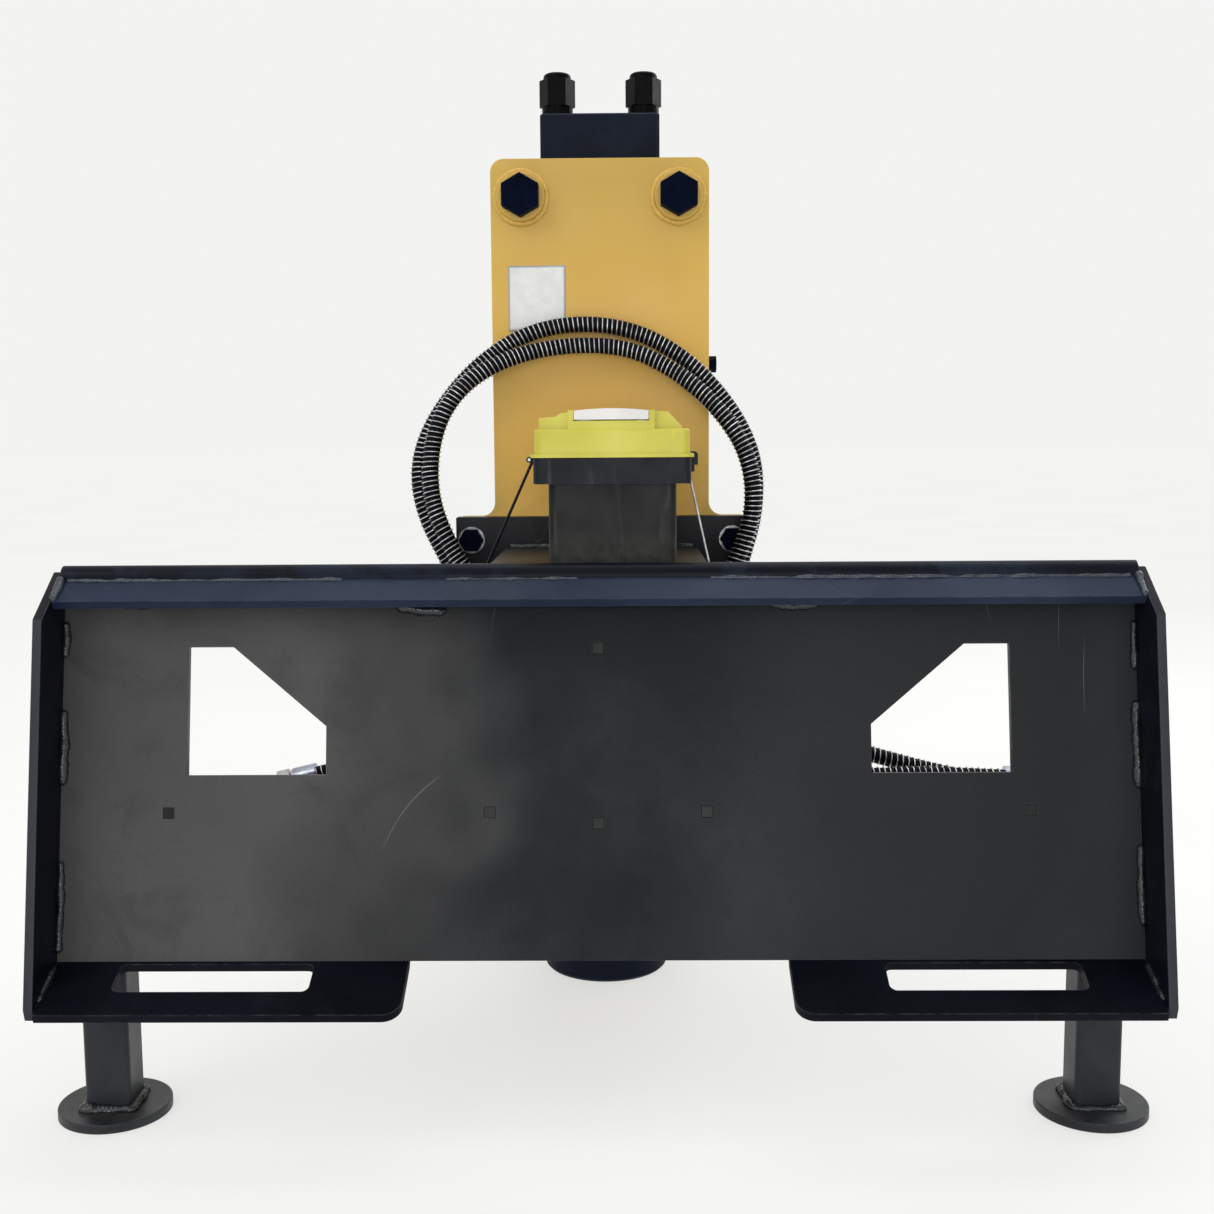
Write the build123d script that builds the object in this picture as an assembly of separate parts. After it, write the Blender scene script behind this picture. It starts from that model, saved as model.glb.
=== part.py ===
from build123d import *
import os
import math

os.makedirs("parts", exist_ok=True)

# Skid-steer hydraulic breaker with its quick-attach frame, foot stand, parts box and hose pair.
# Millimetres.  +X right, +Y from the attach plate towards the breaker, +Z up.
# Built with Y = 0 at the bottom front edge of the attach plate, then moved by Y_SHIFT so the
# origin is the centre of the object's footprint on the ground.
Y_SHIFT = -314.45

# ---------------------------------------------------------------- driving dimensions
TILT = 11.0            # attach plate leans back, degrees
PLATE_Z = 198.0        # height of the plate's bottom bend above the ground
PLATE_HW = 567.0       # half width between the end plates
PLATE_T = 10.0
PLATE_TOP = 392.0      # along the plate
END_T = 10.0
END_REACH = 62.0       # end plate reach in front of the plate
LIP_ANG = 33.5         # lip slope below the plate normal
LIP_L = 77.0
LIP_IN = 198.0         # inner end of each lip
SLOT_X0, SLOT_X1 = 296.0, 498.0
SLOT_S0, SLOT_S1 = 4.0, 44.0
WIN = [(287.0, 193.5), (434.0, 193.5), (434.0, 328.8), (386.5, 328.8), (287.0, 244.5)]
SQ = [(0.0, 325.7), (-452.5, 154.0), (452.5, 154.0), (-114.0, 153.6), (114.0, 153.6), (0.0, 142.0)]
SQ_HOLE = 12.0

SHELF_Z = 600.0        # top of the parts shelf
SHELF_HW = 121.0
SHELF_T = 10.0
BRACKET_Y = 400.0      # front face of the black bracket plate
BRACKET_T = 20.0
BRACKET_HW = 186.0
BRACKET_TOP = 638.0
BRACKET_BOT = 262.0
BRACKET_BX = 166.0
BRACKET_BZ = [609.0, 510.0, 410.0, 310.0]
M18_R = 9.0

LEG_X = 540.0
LEG_Y0 = 53.0
LEG_W = 50.0
LEG_T = 5.0
LEG_TOP = 520.0
DISC_R = 61.0
DISC_T = 10.0

AXIS_Y = 540.0         # breaker axis
SIDE_T = 20.0
FRONT_Y = 420.0        # front side plate, front face
REAR_Y = 640.0         # rear side plate, front face
SIDE_HW = 137.5
SIDE_TOP = 1086.0
SIDE_BOT = 100.0
FLANGE_HW = 186.0
UP_BX, UP_BZ = 99.0, 1038.5
LO_BX, LO_BZ = 114.0, 165.0
NOSE_R = 84.5
HEAD_HW = 95.0         # body half width in X
BORE_R = 38.0          # tool bush bore, 75 mm class tool
BUSH_R = 56.0
PISTON_TRAVEL = 60.0
SPOOL_TRAVEL = 12.0
BLOCK_HW = 76.5
BLOCK_TOP = 1150.0
PORT_X = 57.0
ROD = 76.0             # tie rod pattern half pitch

BOX_X = 16.0           # parts box centre in X
BOX_Y0, BOX_Y1 = 112.0, 362.0
RIM_Z0, RIM_Z1 = 689.0, 717.0
LID_TOP = 748.0

HOSE_D = 23.0

out = {}


def bx(x0, x1, y0, y1, z0, z1):
    return Pos((x0 + x1) / 2, (y0 + y1) / 2, (z0 + z1) / 2) * Box(abs(x1 - x0), abs(y1 - y0), abs(z1 - z0))


def cz(x, y, z0, z1, r):
    return Pos(x, y, (z0 + z1) / 2) * Cylinder(r, z1 - z0)


def cy(x, z, y0, y1, r):
    return Pos(x, (y0 + y1) / 2, z) * Rot(90, 0, 0) * Cylinder(r, y1 - y0)


def cx(y, z, x0, x1, r):
    return Pos((x0 + x1) / 2, y, z) * Rot(0, 90, 0) * Cylinder(r, x1 - x0)


def hexz(x, y, z0, z1, af, turn=0.0):
    return Pos(x, y, z0) * extrude(Rot(0, 0, turn) * RegularPolygon(af / math.sqrt(3), 6), z1 - z0)


def hexy(x, z, y0, y1, af, turn=0.0):
    # extrude along +Y from y0 to y1
    return Pos(x, y1, z) * Rot(90, 0, 0) * extrude(Rot(0, 0, turn) * RegularPolygon(af / math.sqrt(3), 6), y1 - y0)


def hexx(y, z, x0, x1, af, turn=0.0):
    return Pos(x0, y, z) * Rot(0, 90, 0) * extrude(Rot(0, 0, turn) * RegularPolygon(af / math.sqrt(3), 6), x1 - x0)


def vround(shape, r, axis=Axis.Z):
    return fillet(shape.edges().filter_by(axis), r)


def plate_xz(pts, y0, y1):
    # polygon in X-Z, thick along Y
    f = make_face(Polyline(*[(p[0], p[1]) for p in pts], close=True))
    return Pos(0, y1, 0) * Rot(90, 0, 0) * extrude(f, y1 - y0)


def plate_yz(pts, x0, x1):
    # polygon given as (y, z), thick along X
    f = make_face(Polyline(*[(p[0], p[1]) for p in pts], close=True))
    # map sketch x -> Y, sketch y -> Z, extrude -> X
    pl = Plane(origin=(x0, 0, 0), x_dir=(0, 1, 0), z_dir=(1, 0, 0))
    return extrude(pl * f, x1 - x0)


def group(*s):
    flat = []
    for a in s:
        flat.extend(a.solids())
    return Compound(children=flat) if len(flat) > 1 else flat[0]


TP = Pos(0, 0, PLATE_Z) * Rot(-TILT, 0, 0)   # plate frame: x along, y behind (-y towards the machine), z up the plate
ct, st = math.cos(math.radians(TILT)), math.sin(math.radians(TILT))


def plate_back_y(z):
    # Y of the plate's rear face at world height z
    v = (z - PLATE_Z + PLATE_T * st) / ct
    return v * st + PLATE_T * ct


# half space behind the plate's rear face, used to fit welded pieces to it
behind = TP * bx(-800, 800, PLATE_T, 1500, -600, 1200)

# ---------------------------------------------------------------- attach plate
p = bx(-PLATE_HW, PLATE_HW, 0, PLATE_T, 0, PLATE_TOP)
for s in (-1, 1):
    p -= plate_xz([(s * u, v) for u, v in WIN], -5, PLATE_T + 5)
for u, v in SQ:
    p -= bx(u - SQ_HOLE / 2, u + SQ_HOLE / 2, -5, PLATE_T + 5, v - SQ_HOLE / 2, v + SQ_HOLE / 2)
roll = Pos(0, -3, 403) * Rot(0, 90, 0) * Cylinder(13, 2 * PLATE_HW)
out["attach_plate"] = TP * (p - roll)

plugs = [TP * bx(u - SQ_HOLE / 2 + .25, u + SQ_HOLE / 2 - .25, 0.8, PLATE_T, v - SQ_HOLE / 2 + .25, v + SQ_HOLE / 2 - .25) for u, v in SQ]
out["square_plugs"] = group(*plugs)

# hook: rolled top edge and the 45 degree hook bar that the machine's coupler lifts under
neck = bx(-PLATE_HW, PLATE_HW, 0, PLATE_T, PLATE_TOP, 403)
A = (-12.0, 401.4)
B = (-38.7, 374.7)
C = (B[0] + 7.07, B[1] - 7.07)
D = (A[0] + 7.07, A[1] - 7.07)
bar = plate_yz([A, B, C, D], -PLATE_HW, PLATE_HW)
out["hook_bar"] = TP * (roll + neck + bar)

# lips: sloping bottom flanges with the locking pin slots
la = math.radians(LIP_ANG)
LT = Rot(-(90 + LIP_ANG), 0, 0)              # local z (up the plate) turned towards the machine and down


def lip(s):
    x0, x1 = LIP_IN, PLATE_HW
    f = bx(x0, x1, 0, PLATE_T, 0, LIP_L)
    f = fillet(f.edges().filter_by(Axis.Y).group_by(Axis.Z)[-1].sort_by(Axis.X)[0], 20)
    slot = bx(SLOT_X0, SLOT_X1, -5, PLATE_T + 5, SLOT_S0, SLOT_S1)
    slot = fillet(slot.edges().filter_by(Axis.Y), 8)
    f -= slot
    # knuckle that carries the bend into the plate
    if s < 0:
        f = mirror(f, Plane.YZ)
    return f


def lip_place(f):
    # slope axis: local z -> direction towards the machine and down; local y -> underside
    pl = Plane(origin=(0, 0, 0), x_dir=(1, 0, 0), z_dir=(0, -math.cos(la), -math.sin(la)))
    # this plane's y axis is z_dir x x_dir
    return pl.location * f


test = Plane(origin=(0, 0, 0), x_dir=(1, 0, 0), z_dir=(0, -math.cos(la), -math.sin(la)))
# y_dir of that plane points to the underside or the top: choose the underside
flip = 1 if test.y_dir.Z < 0 else -1


def lip_solid(s):
    f = lip(s)
    if flip < 0:
        f = mirror(f, Plane.XZ)
    g = lip_place(f)
    # wedge under the bend that closes the outer corner between plate and lip
    w0 = (0.0, 0.0)
    w1 = (PLATE_T, 0.0)
    w2 = (PLATE_T * math.sin(la), -PLATE_T * math.cos(la))
    w = plate_yz([w0, w1, w2], LIP_IN, PLATE_HW)
    if s < 0:
        w = mirror(w, Plane.YZ)
    return TP * (g + w)


out["lip_left"] = lip_solid(-1)
out["lip_right"] = lip_solid(1)

# end plates closing both ends of the attach frame
ep = [(PLATE_T, -2.0), (PLATE_T, 409.0), (-7.0, 409.0), (-END_REACH, 354.0), (-END_REACH, -38.0), (-56.0, -50.0), (-2.0, -14.0)]
for s, nm in ((-1, "end_plate_left"), (1, "end_plate_right")):
    a0, a1 = (PLATE_HW, PLATE_HW + END_T) if s > 0 else (-PLATE_HW - END_T, -PLATE_HW)
    out[nm] = TP * plate_yz(ep, a0, a1)

# ---------------------------------------------------------------- legs and feet
for s, nm in ((-1, "left"), (1, "right")):
    o = bx(s * LEG_X - LEG_W / 2, s * LEG_X + LEG_W / 2, LEG_Y0, LEG_Y0 + LEG_W, DISC_T, LEG_TOP)
    o = fillet(o.edges().filter_by(Axis.Z), 6)
    i = bx(s * LEG_X - LEG_W / 2 + LEG_T, s * LEG_X + LEG_W / 2 - LEG_T, LEG_Y0 + LEG_T, LEG_Y0 + LEG_W - LEG_T, DISC_T, LEG_TOP - LEG_T)
    leg = (o - i) & behind
    out["leg_" + nm] = leg.solids().sort_by(SortBy.VOLUME)[-1]
    d = cz(s * LEG_X, LEG_Y0 + LEG_W / 2, 0, DISC_T, DISC_R)
    d = fillet(d.edges().group_by(Axis.Z)[-1], 1.5)
    out["foot_disc_" + nm] = d

# ---------------------------------------------------------------- parts shelf and its box frame
sh = bx(-SHELF_HW, SHELF_HW, 60, BRACKET_Y, SHELF_Z - SHELF_T, SHELF_Z) & behind
out["toolbox_shelf"] = sh
GZ0 = 290.0
for s, nm in ((-1, "left"), (1, "right")):
    x0, x1 = (101.0, 113.0) if s > 0 else (-113.0, -101.0)
    g = plate_yz([(0, SHELF_Z - SHELF_T), (BRACKET_Y, SHELF_Z - SHELF_T), (BRACKET_Y, GZ0), (0, GZ0 - 60)], x0, x1) & behind
    out["gusset_" + nm] = g.solids().sort_by(SortBy.VOLUME)[-1]
out["lower_tie_plate"] = bx(-101, 101, 20, BRACKET_Y, 318, 330) & behind

bp = bx(-BRACKET_HW, BRACKET_HW, BRACKET_Y, BRACKET_Y + BRACKET_T, BRACKET_BOT, BRACKET_TOP)
bp = fillet(bp.edges().filter_by(Axis.Y), 2)
for s in (-1, 1):
    for z in BRACKET_BZ:
        bp -= cy(s * BRACKET_BX, z, BRACKET_Y - 5, BRACKET_Y + BRACKET_T + 5, M18_R + 0.5)
out["bracket_plate"] = bp

bb, bw, bn = [], [], []
for s in (-1, 1):
    for z in BRACKET_BZ:
        x = s * BRACKET_BX
        bb.append(hexy(x, z, BRACKET_Y - 14.5, BRACKET_Y - 3, 27, 0) + cy(x, z, BRACKET_Y - 3, FRONT_Y + SIDE_T + 22, M18_R))
        bw.append(cy(x, z, BRACKET_Y - 3, BRACKET_Y, 17) - cy(x, z, BRACKET_Y - 4, BRACKET_Y + 1, M18_R + 0.05))
        bn.append(hexy(x, z, FRONT_Y + SIDE_T, FRONT_Y + SIDE_T + 15, 27, 0) - cy(x, z, FRONT_Y + SIDE_T - 1, FRONT_Y + SIDE_T + 16, M18_R + 0.02))
out["bracket_bolts"] = group(*bb)
out["bracket_washers"] = group(*bw)
out["bracket_nuts"] = group(*bn)

# ---------------------------------------------------------------- breaker side plates
NB = BRACKET_BOT
FL = 18.0


def side_outline(tee):
    w = SIDE_HW
    s = bx(-w, w, 0, SIDE_T, SIDE_BOT, SIDE_TOP)
    s = fillet(s.edges().filter_by(Axis.Y).group_by(Axis.Z)[-1], 17)
    s = fillet(s.edges().filter_by(Axis.Y).group_by(Axis.Z)[0], 30)
    if tee:
        f = bx(-FLANGE_HW, FLANGE_HW, 0, SIDE_T, BRACKET_BOT, BRACKET_TOP)
        f = fillet(f.edges().filter_by(Axis.Y), 8)
        s = s + f
        inner = [e for e in s.edges().filter_by(Axis.Y)
                 if abs(abs(e.center().X) - w) < 0.5 and (abs(e.center().Z - BRACKET_TOP) < 0.5 or abs(e.center().Z - BRACKET_BOT) < 0.5)]
        s = fillet(inner, FL)
    return s


def drill_side(s):
    for q in (-1, 1):
        s -= cy(q * UP_BX, UP_BZ, -5, SIDE_T + 5, 15.5)
        s -= cy(q * LO_BX, LO_BZ, -5, SIDE_T + 5, 12.5)
    return s


sp = side_outline(True)
for q in (-1, 1):
    for z in BRACKET_BZ:
        sp -= cy(q * BRACKET_BX, z, -5, SIDE_T + 5, M18_R + 0.5)
out["side_plate_front"] = Pos(0, FRONT_Y, 0) * drill_side(sp)
out["side_plate_rear"] = Pos(0, REAR_Y, 0) * drill_side(side_outline(False))

# round bosses welded on the plates under the upper bolts
bo = []
for q in (-1, 1):
    for y0, y1, ye in ((FRONT_Y - 10, FRONT_Y, FRONT_Y - 10), (REAR_Y + SIDE_T, REAR_Y + SIDE_T + 10, REAR_Y + SIDE_T + 10)):
        b = cy(q * UP_BX, UP_BZ, y0, y1, 30.5)
        e = b.edges().filter_by(GeomType.CIRCLE).sort_by(lambda t: abs(t.center().Y - ye))[0]
        b = fillet(e, 2.5)
        b -= cy(q * UP_BX, UP_BZ, y0 - 1, y1 + 1, 15.5)
        bo.append(b)
out["bolt_bosses"] = group(*bo)

ub, un, us = [], [], []
for q in (-1, 1):
    x = q * UP_BX
    h = hexy(x, UP_BZ, FRONT_Y - 10 - 18.7, FRONT_Y - 10, 46, 30)
    ub.append(h + cy(x, UP_BZ, FRONT_Y - 10, REAR_Y + SIDE_T + 10 + 30, 15))
    un.append(hexy(x, UP_BZ, REAR_Y + SIDE_T + 10, REAR_Y + SIDE_T + 10 + 24, 46, 30) - cy(x, UP_BZ, REAR_Y, REAR_Y + 80, 15.02))
    us.append(cy(x, UP_BZ, FRONT_Y + SIDE_T, REAR_Y, 20) - cy(x, UP_BZ, FRONT_Y, REAR_Y + 20, 15.5))
lb, ln, ls = [], [], []
for q in (-1, 1):
    x = q * LO_BX
    lb.append(hexy(x, LO_BZ, FRONT_Y - 15, FRONT_Y, 36, 30) + cy(x, LO_BZ, FRONT_Y, REAR_Y + SIDE_T + 24, 12))
    ln.append(hexy(x, LO_BZ, REAR_Y + SIDE_T, REAR_Y + SIDE_T + 19, 36, 30) - cy(x, LO_BZ, REAR_Y, REAR_Y + 60, 12.02))
    ls.append(cy(x, LO_BZ, FRONT_Y + SIDE_T, REAR_Y, 17.5) - cy(x, LO_BZ, FRONT_Y, REAR_Y + 20, 12.5))
out["side_bolts"] = group(*ub, *lb)
out["side_bolt_nuts"] = group(*un, *ln)
out["spacer_tubes"] = group(*us, *ls)

# ---------------------------------------------------------------- breaker body
Y0, Y1 = FRONT_Y + SIDE_T, REAR_Y
rods = [(sx * ROD, AXIS_Y + sy * ROD) for sx in (-1, 1) for sy in (-1, 1)]
PIN_X, PIN_Z, PIN_R = 42.0, 165.0, 16.0

fh = bx(-HEAD_HW, HEAD_HW, Y0, Y1, 110, 350)
fh = chamfer(fh.edges().filter_by(Axis.Z), 6)
nose = cz(0, AXIS_Y, 0, 110, NOSE_R)
nose = chamfer(nose.edges().group_by(Axis.Z)[0], 4)
fh = fh + nose
fh -= cz(0, AXIS_Y, 14, 351, BUSH_R)
fh -= cz(0, AXIS_Y, -1, 15, 46)
for x, y in rods:
    fh -= cz(x, y, 100, 360, 13.05)
for q in (-1, 1):
    fh -= cy(q * PIN_X, PIN_Z, Y0 - 5, Y1 + 5, PIN_R + 0.05)
fh -= cx(AXIS_Y, 230, HEAD_HW - 9, HEAD_HW + 5, 4.0)
out["front_head"] = fh

lbsh = cz(0, AXIS_Y, 14, 138, BUSH_R - 0.02) - cz(0, AXIS_Y, 13, 139, BORE_R)
out["lower_bush"] = lbsh
ubsh = cz(0, AXIS_Y, 196, 330, BUSH_R - 0.02) - cz(0, AXIS_Y, 195, 331, BORE_R)
out["upper_bush"] = ubsh
seal = cz(0, AXIS_Y, 3, 13.5, 45.9) - cz(0, AXIS_Y, 2, 15, 39.0)
out["dust_seal"] = seal
pins, pplug = [], []
for q in (-1, 1):
    pins.append(cy(q * PIN_X, PIN_Z, Y0 + 12, Y1 - 12, PIN_R))
    pplug.append(cy(q * PIN_X, PIN_Z, Y0 + 0.5, Y0 + 11.7, PIN_R))
    pplug.append(cy(q * PIN_X, PIN_Z, Y1 - 11.7, Y1 - 0.5, PIN_R))
out["retaining_pins"] = group(*pins)
out["retaining_pin_plugs"] = group(*pplug)

cyl = bx(-HEAD_HW, HEAD_HW, Y0, Y1, 350, 870)
cyl = chamfer(cyl.edges().filter_by(Axis.Z), 10)
cyl -= cz(0, AXIS_Y, 349, 431, 37.6)
cyl -= cz(0, AXIS_Y, 430, 830, 48.05)
cyl -= cz(0, AXIS_Y, 829, 871, 40.05)
cyl -= cz(0, AXIS_Y, 842, 849, 46)
cyl -= cz(0, AXIS_Y, 375, 382, 43.5)
for x, y in rods:
    cyl -= cz(x, y, 340, 880, 13.05)
out["cylinder"] = cyl
ps = [cz(0, AXIS_Y, 842.05, 848.95, 45.95) - cz(0, AXIS_Y, 841, 850, 40.06),
      cz(0, AXIS_Y, 375.05, 381.95, 43.45) - cz(0, AXIS_Y, 374, 383, 37.61)]
out["piston_seals"] = group(*ps)

pis = cz(0, AXIS_Y, 335, 480, 37.5) + cz(0, AXIS_Y, 480, 760, 48.0) + cz(0, AXIS_Y, 760, 900, 40.0)
pis -= cz(0, AXIS_Y, 600, 625, 60) - cz(0, AXIS_Y, 599, 626, 43)
out["piston"] = pis

bh = bx(-HEAD_HW, HEAD_HW, Y0, Y1, 870, 960)
bh = chamfer(bh.edges().filter_by(Axis.Z), 10)
blk = bx(-BLOCK_HW, BLOCK_HW, AXIS_Y - BLOCK_HW, AXIS_Y + BLOCK_HW, 960, BLOCK_TOP)
blk = chamfer(blk.edges().filter_by(Axis.Z), 4)
blk = chamfer(blk.edges().group_by(Axis.Z)[-1], 2)
bh = bh + blk
bh -= cz(0, AXIS_Y, 869, 1000, 44)
for x, y in rods:
    bh -= cz(x, y, 860, 950.5, 13.05)
GV_Y, GV_Z = AXIS_Y - 30, 1086.5
bh -= cx(GV_Y, GV_Z, BLOCK_HW - 26, BLOCK_HW + 5, 9.0)
for q in (-1, 1):
    bh -= cz(q * PORT_X, AXIS_Y, BLOCK_TOP - 28, BLOCK_TOP + 5, 15.0)
out["back_head"] = bh

out["gas_valve"] = cx(GV_Y, GV_Z, BLOCK_HW - 24, BLOCK_HW, 8.97) + hexx(GV_Y, GV_Z, BLOCK_HW, BLOCK_HW + 15, 27, 0)
tb = [hexz(x, y, 91, 110, 32, 30 if x < 0 else 30) + cz(x, y, 110, 950, 13.0) for x, y in rods]
out["through_bolts"] = group(*tb)

out["grease_nipple"] = (cx(AXIS_Y, 230, HEAD_HW - 8.5, HEAD_HW, 3.97) + hexx(AXIS_Y, 230, HEAD_HW, HEAD_HW + 6, 11, 0)
                        + cx(AXIS_Y, 230, HEAD_HW + 6, HEAD_HW + 13, 3.2))

# control valve on the right flank of the cylinder
VX0, VX1 = HEAD_HW, 136.0
VC = 117.0
vh = bx(VX0, VX1, 488, 592, 640, 900)
vh = chamfer(vh.edges().filter_by(Axis.Z).sort_by(Axis.X)[-2:], 5)
vh -= cz(VC, AXIS_Y, 690, 901, 12.05)
vh -= cx(AXIS_Y, 835, 132, VX1 + 1, 7.0)
out["valve_housing"] = vh
sl = cz(VC, AXIS_Y, 700, 800, 12.0)
sl -= cz(VC, AXIS_Y, 730, 745, 20) - cz(VC, AXIS_Y, 729, 746, 8)
sl -= cz(VC, AXIS_Y, 762, 777, 20) - cz(VC, AXIS_Y, 761, 778, 8)
out["valve_spool"] = sl
vc = bx(VX0 + .5, VX1, 488, 592, 900, 922)
vcb = []
vx = [(104.0, 500.0), (104.0, 580.0), (128.0, 500.0), (128.0, 580.0)]
for x, y in vx:
    vc -= cz(x, y, 899, 923, 4.2)
    vh -= cz(x, y, 875, 901, 4.05)
    vcb.append(cz(x, y, 876, 922, 4.0) + cz(x, y, 922, 930, 6.5) - hexz(x, y, 926, 931, 6))
out["valve_housing"] = vh
out["valve_cover"] = vc
out["valve_cover_bolts"] = group(*vcb)
out["adjuster_plug"] = cx(AXIS_Y, 835, 132.5, VX1, 6.97) + hexx(AXIS_Y, 835, VX1, 154, 19, 0)

# hydraulic ports on top
pa, pc = [], {}
for q, nm in ((-1, "left"), (1, "right")):
    x = q * PORT_X
    a = cz(x, AXIS_Y, BLOCK_TOP - 26, BLOCK_TOP, 14.97) + cz(x, AXIS_Y, BLOCK_TOP, 1172, 20.5) + cz(x, AXIS_Y, 1172, 1196, 12.0)
    a -= cz(x, AXIS_Y, BLOCK_TOP - 30, 1200, 7)
    pa.append(a)
    c = hexz(x, AXIS_Y, 1172.3, 1207, 41, 0) + cz(x, AXIS_Y, 1207, 1215.5, 18.2)
    c = fillet(c.edges().filter_by(GeomType.CIRCLE).group_by(Axis.Z)[-1], 5)
    c -= cz(x, AXIS_Y, 1170, 1199, 12.05)
    out["port_cap_" + nm] = c
out["port_adapters"] = group(*pa)

# ---------------------------------------------------------------- parts box on the shelf
X = BOX_X
WALL = 3.0


def ring_solid(hw, y0, y1, z0, z1, r=8.0):
    return fillet(bx(X - hw, X + hw, y0, y1, z0, z1).edges().filter_by(Axis.Z), r)


base = Pos(X, (BOX_Y0 + BOX_Y1) / 2, SHELF_Z) * extrude(RectangleRounded(140, BOX_Y1 - BOX_Y0 - 32, 8), RIM_Z0 - SHELF_Z)
rim = ring_solid(85.5, BOX_Y0, BOX_Y1, RIM_Z0, RIM_Z1)
base = base + rim
base -= Pos(X, (BOX_Y0 + BOX_Y1) / 2, SHELF_Z + WALL) * extrude(RectangleRounded(134, BOX_Y1 - BOX_Y0 - 38, 6), 200)
base -= fillet(bx(X - 82.5, X + 82.5, BOX_Y0 + 3, BOX_Y1 - 3, RIM_Z0 + 3, RIM_Z1 + 5).edges().filter_by(Axis.Z), 6)
PXH, PZH = X - 91.2, 715.0          # lid hinge axis
KN_B = [(140.0, 165.0), (309.0, 334.0)]
KN_L = [(165.5, 190.0), (284.0, 308.5)]
for a, b in KN_B:
    base = base + (cy(PXH, PZH, a, b, 3.2) + bx(PXH, X - 85.0, a, b, PZH - 3.2, PZH - 0.4)) - cy(PXH, PZH, a - 1, b + 1, 1.55)
LY0, LY1 = 232.0, 242.0
LPX, LPZ = X + 91.0, 702.0          # latch pivot
base = base + bx(X + 85.0, LPX + 2, LY0, LY1, LPZ - 3.5, LPZ + 3.0) - cy(LPX, LPZ, LY0 - 1, LY1 + 1, 1.55)
out["toolbox_base"] = base

hp = [cy(PXH, PZH, a, b, 1.5) for a, b in ((140.0, 190.0), (284.0, 334.0))]
out["toolbox_hinge_pins"] = group(*hp)

# lid: skirt, flange, raised top with two organiser tubs and a handle bay
ly0, ly1 = BOX_Y0 + 1.0, BOX_Y1 - 1.0
sk = Pos(X, (ly0 + ly1) / 2, RIM_Z1 + 0.4) * extrude(RectangleRounded(169, ly1 - ly0, 8), LID_TOP - RIM_Z1 - 0.4, taper=1.5)
sk = fillet(sk.edges().group_by(Axis.Z)[-1], 3)
fl = ring_solid(88.5, ly0 - 3, ly1 + 3, RIM_Z1 + 0.4, RIM_Z1 + 4.0, 9)
lid = sk + fl
hump = plate_xz([(X - 79, LID_TOP - 2), (X - 79, 760.0), (X - 62, 761.0), (X - 55, 765.0), (X - 47, 766.0), (X - 47, LID_TOP - 2)], ly0 + 8, ly1 - 8)
rightp = plate_xz([(X + 40, LID_TOP - 2), (X + 40, 766.5), (X + 60, 766.5), (X + 75.5, 750.5), (X + 75.5, LID_TOP - 2)], ly0 + 8, ly1 - 8)
lid = lid + hump + rightp
OY = [(ly0 + 3, 200.0), (274.0, ly1 - 3)]
for a, b in OY:
    lid = lid + bx(X - 47.5, X - 41.5, a, b, LID_TOP - 2, 768) + bx(X + 40.0, X + 46, a, b, LID_TOP - 2, 768)
    lid = lid + bx(X - 47.5, X + 46, a, a + 3, LID_TOP - 2, 756.6) + bx(X - 47.5, X + 46, b - 3, b, LID_TOP - 2, 756.6)
lid -= fillet(bx(X - 81, X + 81, ly0 + 3, ly1 - 3, RIM_Z1 - 5, LID_TOP - 4).edges().filter_by(Axis.Z), 5)
# pivot holes of the organiser covers, in the side rails next to the handle bay
CPZ = 763.5
CPY = {"near": OY[0][1] - 3.5, "far": OY[1][0] + 3.5}
for cyv in CPY.values():
    lid -= cx(cyv, CPZ, X - 45.6, X - 41.4, 1.6) + cx(cyv, CPZ, X + 39.9, X + 44.1, 1.6)
# handle bay lugs
HPX, HPZ = X - 20.0, 757.0
for a, b in ((204.0, 208.5), (265.5, 270.0)):
    lid = lid + (bx(HPX - 5, HPX + 5, a, b, LID_TOP - 2, HPZ + 5)) - cy(HPX, HPZ, a - 1, b + 1, 2.55)
for a, b in KN_L:
    arm = bx(PXH, X - 87.5, a, b, PZH + 2.45, RIM_Z1 + 3.5)
    lid = lid + (cy(PXH, PZH, a, b, 3.2) + arm) - cy(PXH, PZH, a - 1, b + 1, 1.55)
out["toolbox_lid"] = lid

# organiser covers: arched, with side skirts, turning on stub pins near their inner edges
for nm, (a, b) in (("near", OY[0]), ("far", OY[1])):
    w0, w1 = X - 41.0, X + 39.5
    xm = (w0 + w1) / 2
    arch = make_face([Line((w0, 758.0), (w0, 767.5)), ThreePointArc((w0, 767.5), (xm, 770.0), (w1, 767.5)), Line((w1, 767.5), (w1, 758.0)), Line((w1, 758.0), (w0, 758.0))])
    inn = make_face([Line((w0 + 2, 757.0), (w0 + 2, 765.5)), ThreePointArc((w0 + 2, 765.5), (xm, 768.0), (w1 - 2, 765.5)), Line((w1 - 2, 765.5), (w1 - 2, 757.0)), Line((w1 - 2, 757.0), (w0 + 2, 757.0))])
    c = Pos(0, b - 0.5, 0) * Rot(90, 0, 0) * extrude(arch, b - a - 1.0)
    c -= Pos(0, b - 2.5, 0) * Rot(90, 0, 0) * extrude(inn, b - a - 5.0)
    # stub pins that the cover turns on
    c = c + cx(CPY[nm], CPZ, w0 - 4.0, w0 + 2.0, 1.5) + cx(CPY[nm], CPZ, w1 - 2.0, w1 + 4.0, 1.5)
    out["organiser_cover_" + nm] = c

# carrying handle, folded flat in the bay between the tubs
gx = X + 22.0
h = bx(HPX - 3.5, gx, 209.2, 215.2, HPZ - 3.5, HPZ + 3.5) + bx(HPX - 3.5, gx, 258.8, 264.8, HPZ - 3.5, HPZ + 3.5)
h = h + cy(gx, HPZ, 209.2, 264.8, 6.0)
h = h + cy(HPX, HPZ, 204.0, 209.2, 2.5) + cy(HPX, HPZ, 264.8, 270.0, 2.5)
out["toolbox_handle"] = h

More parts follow.
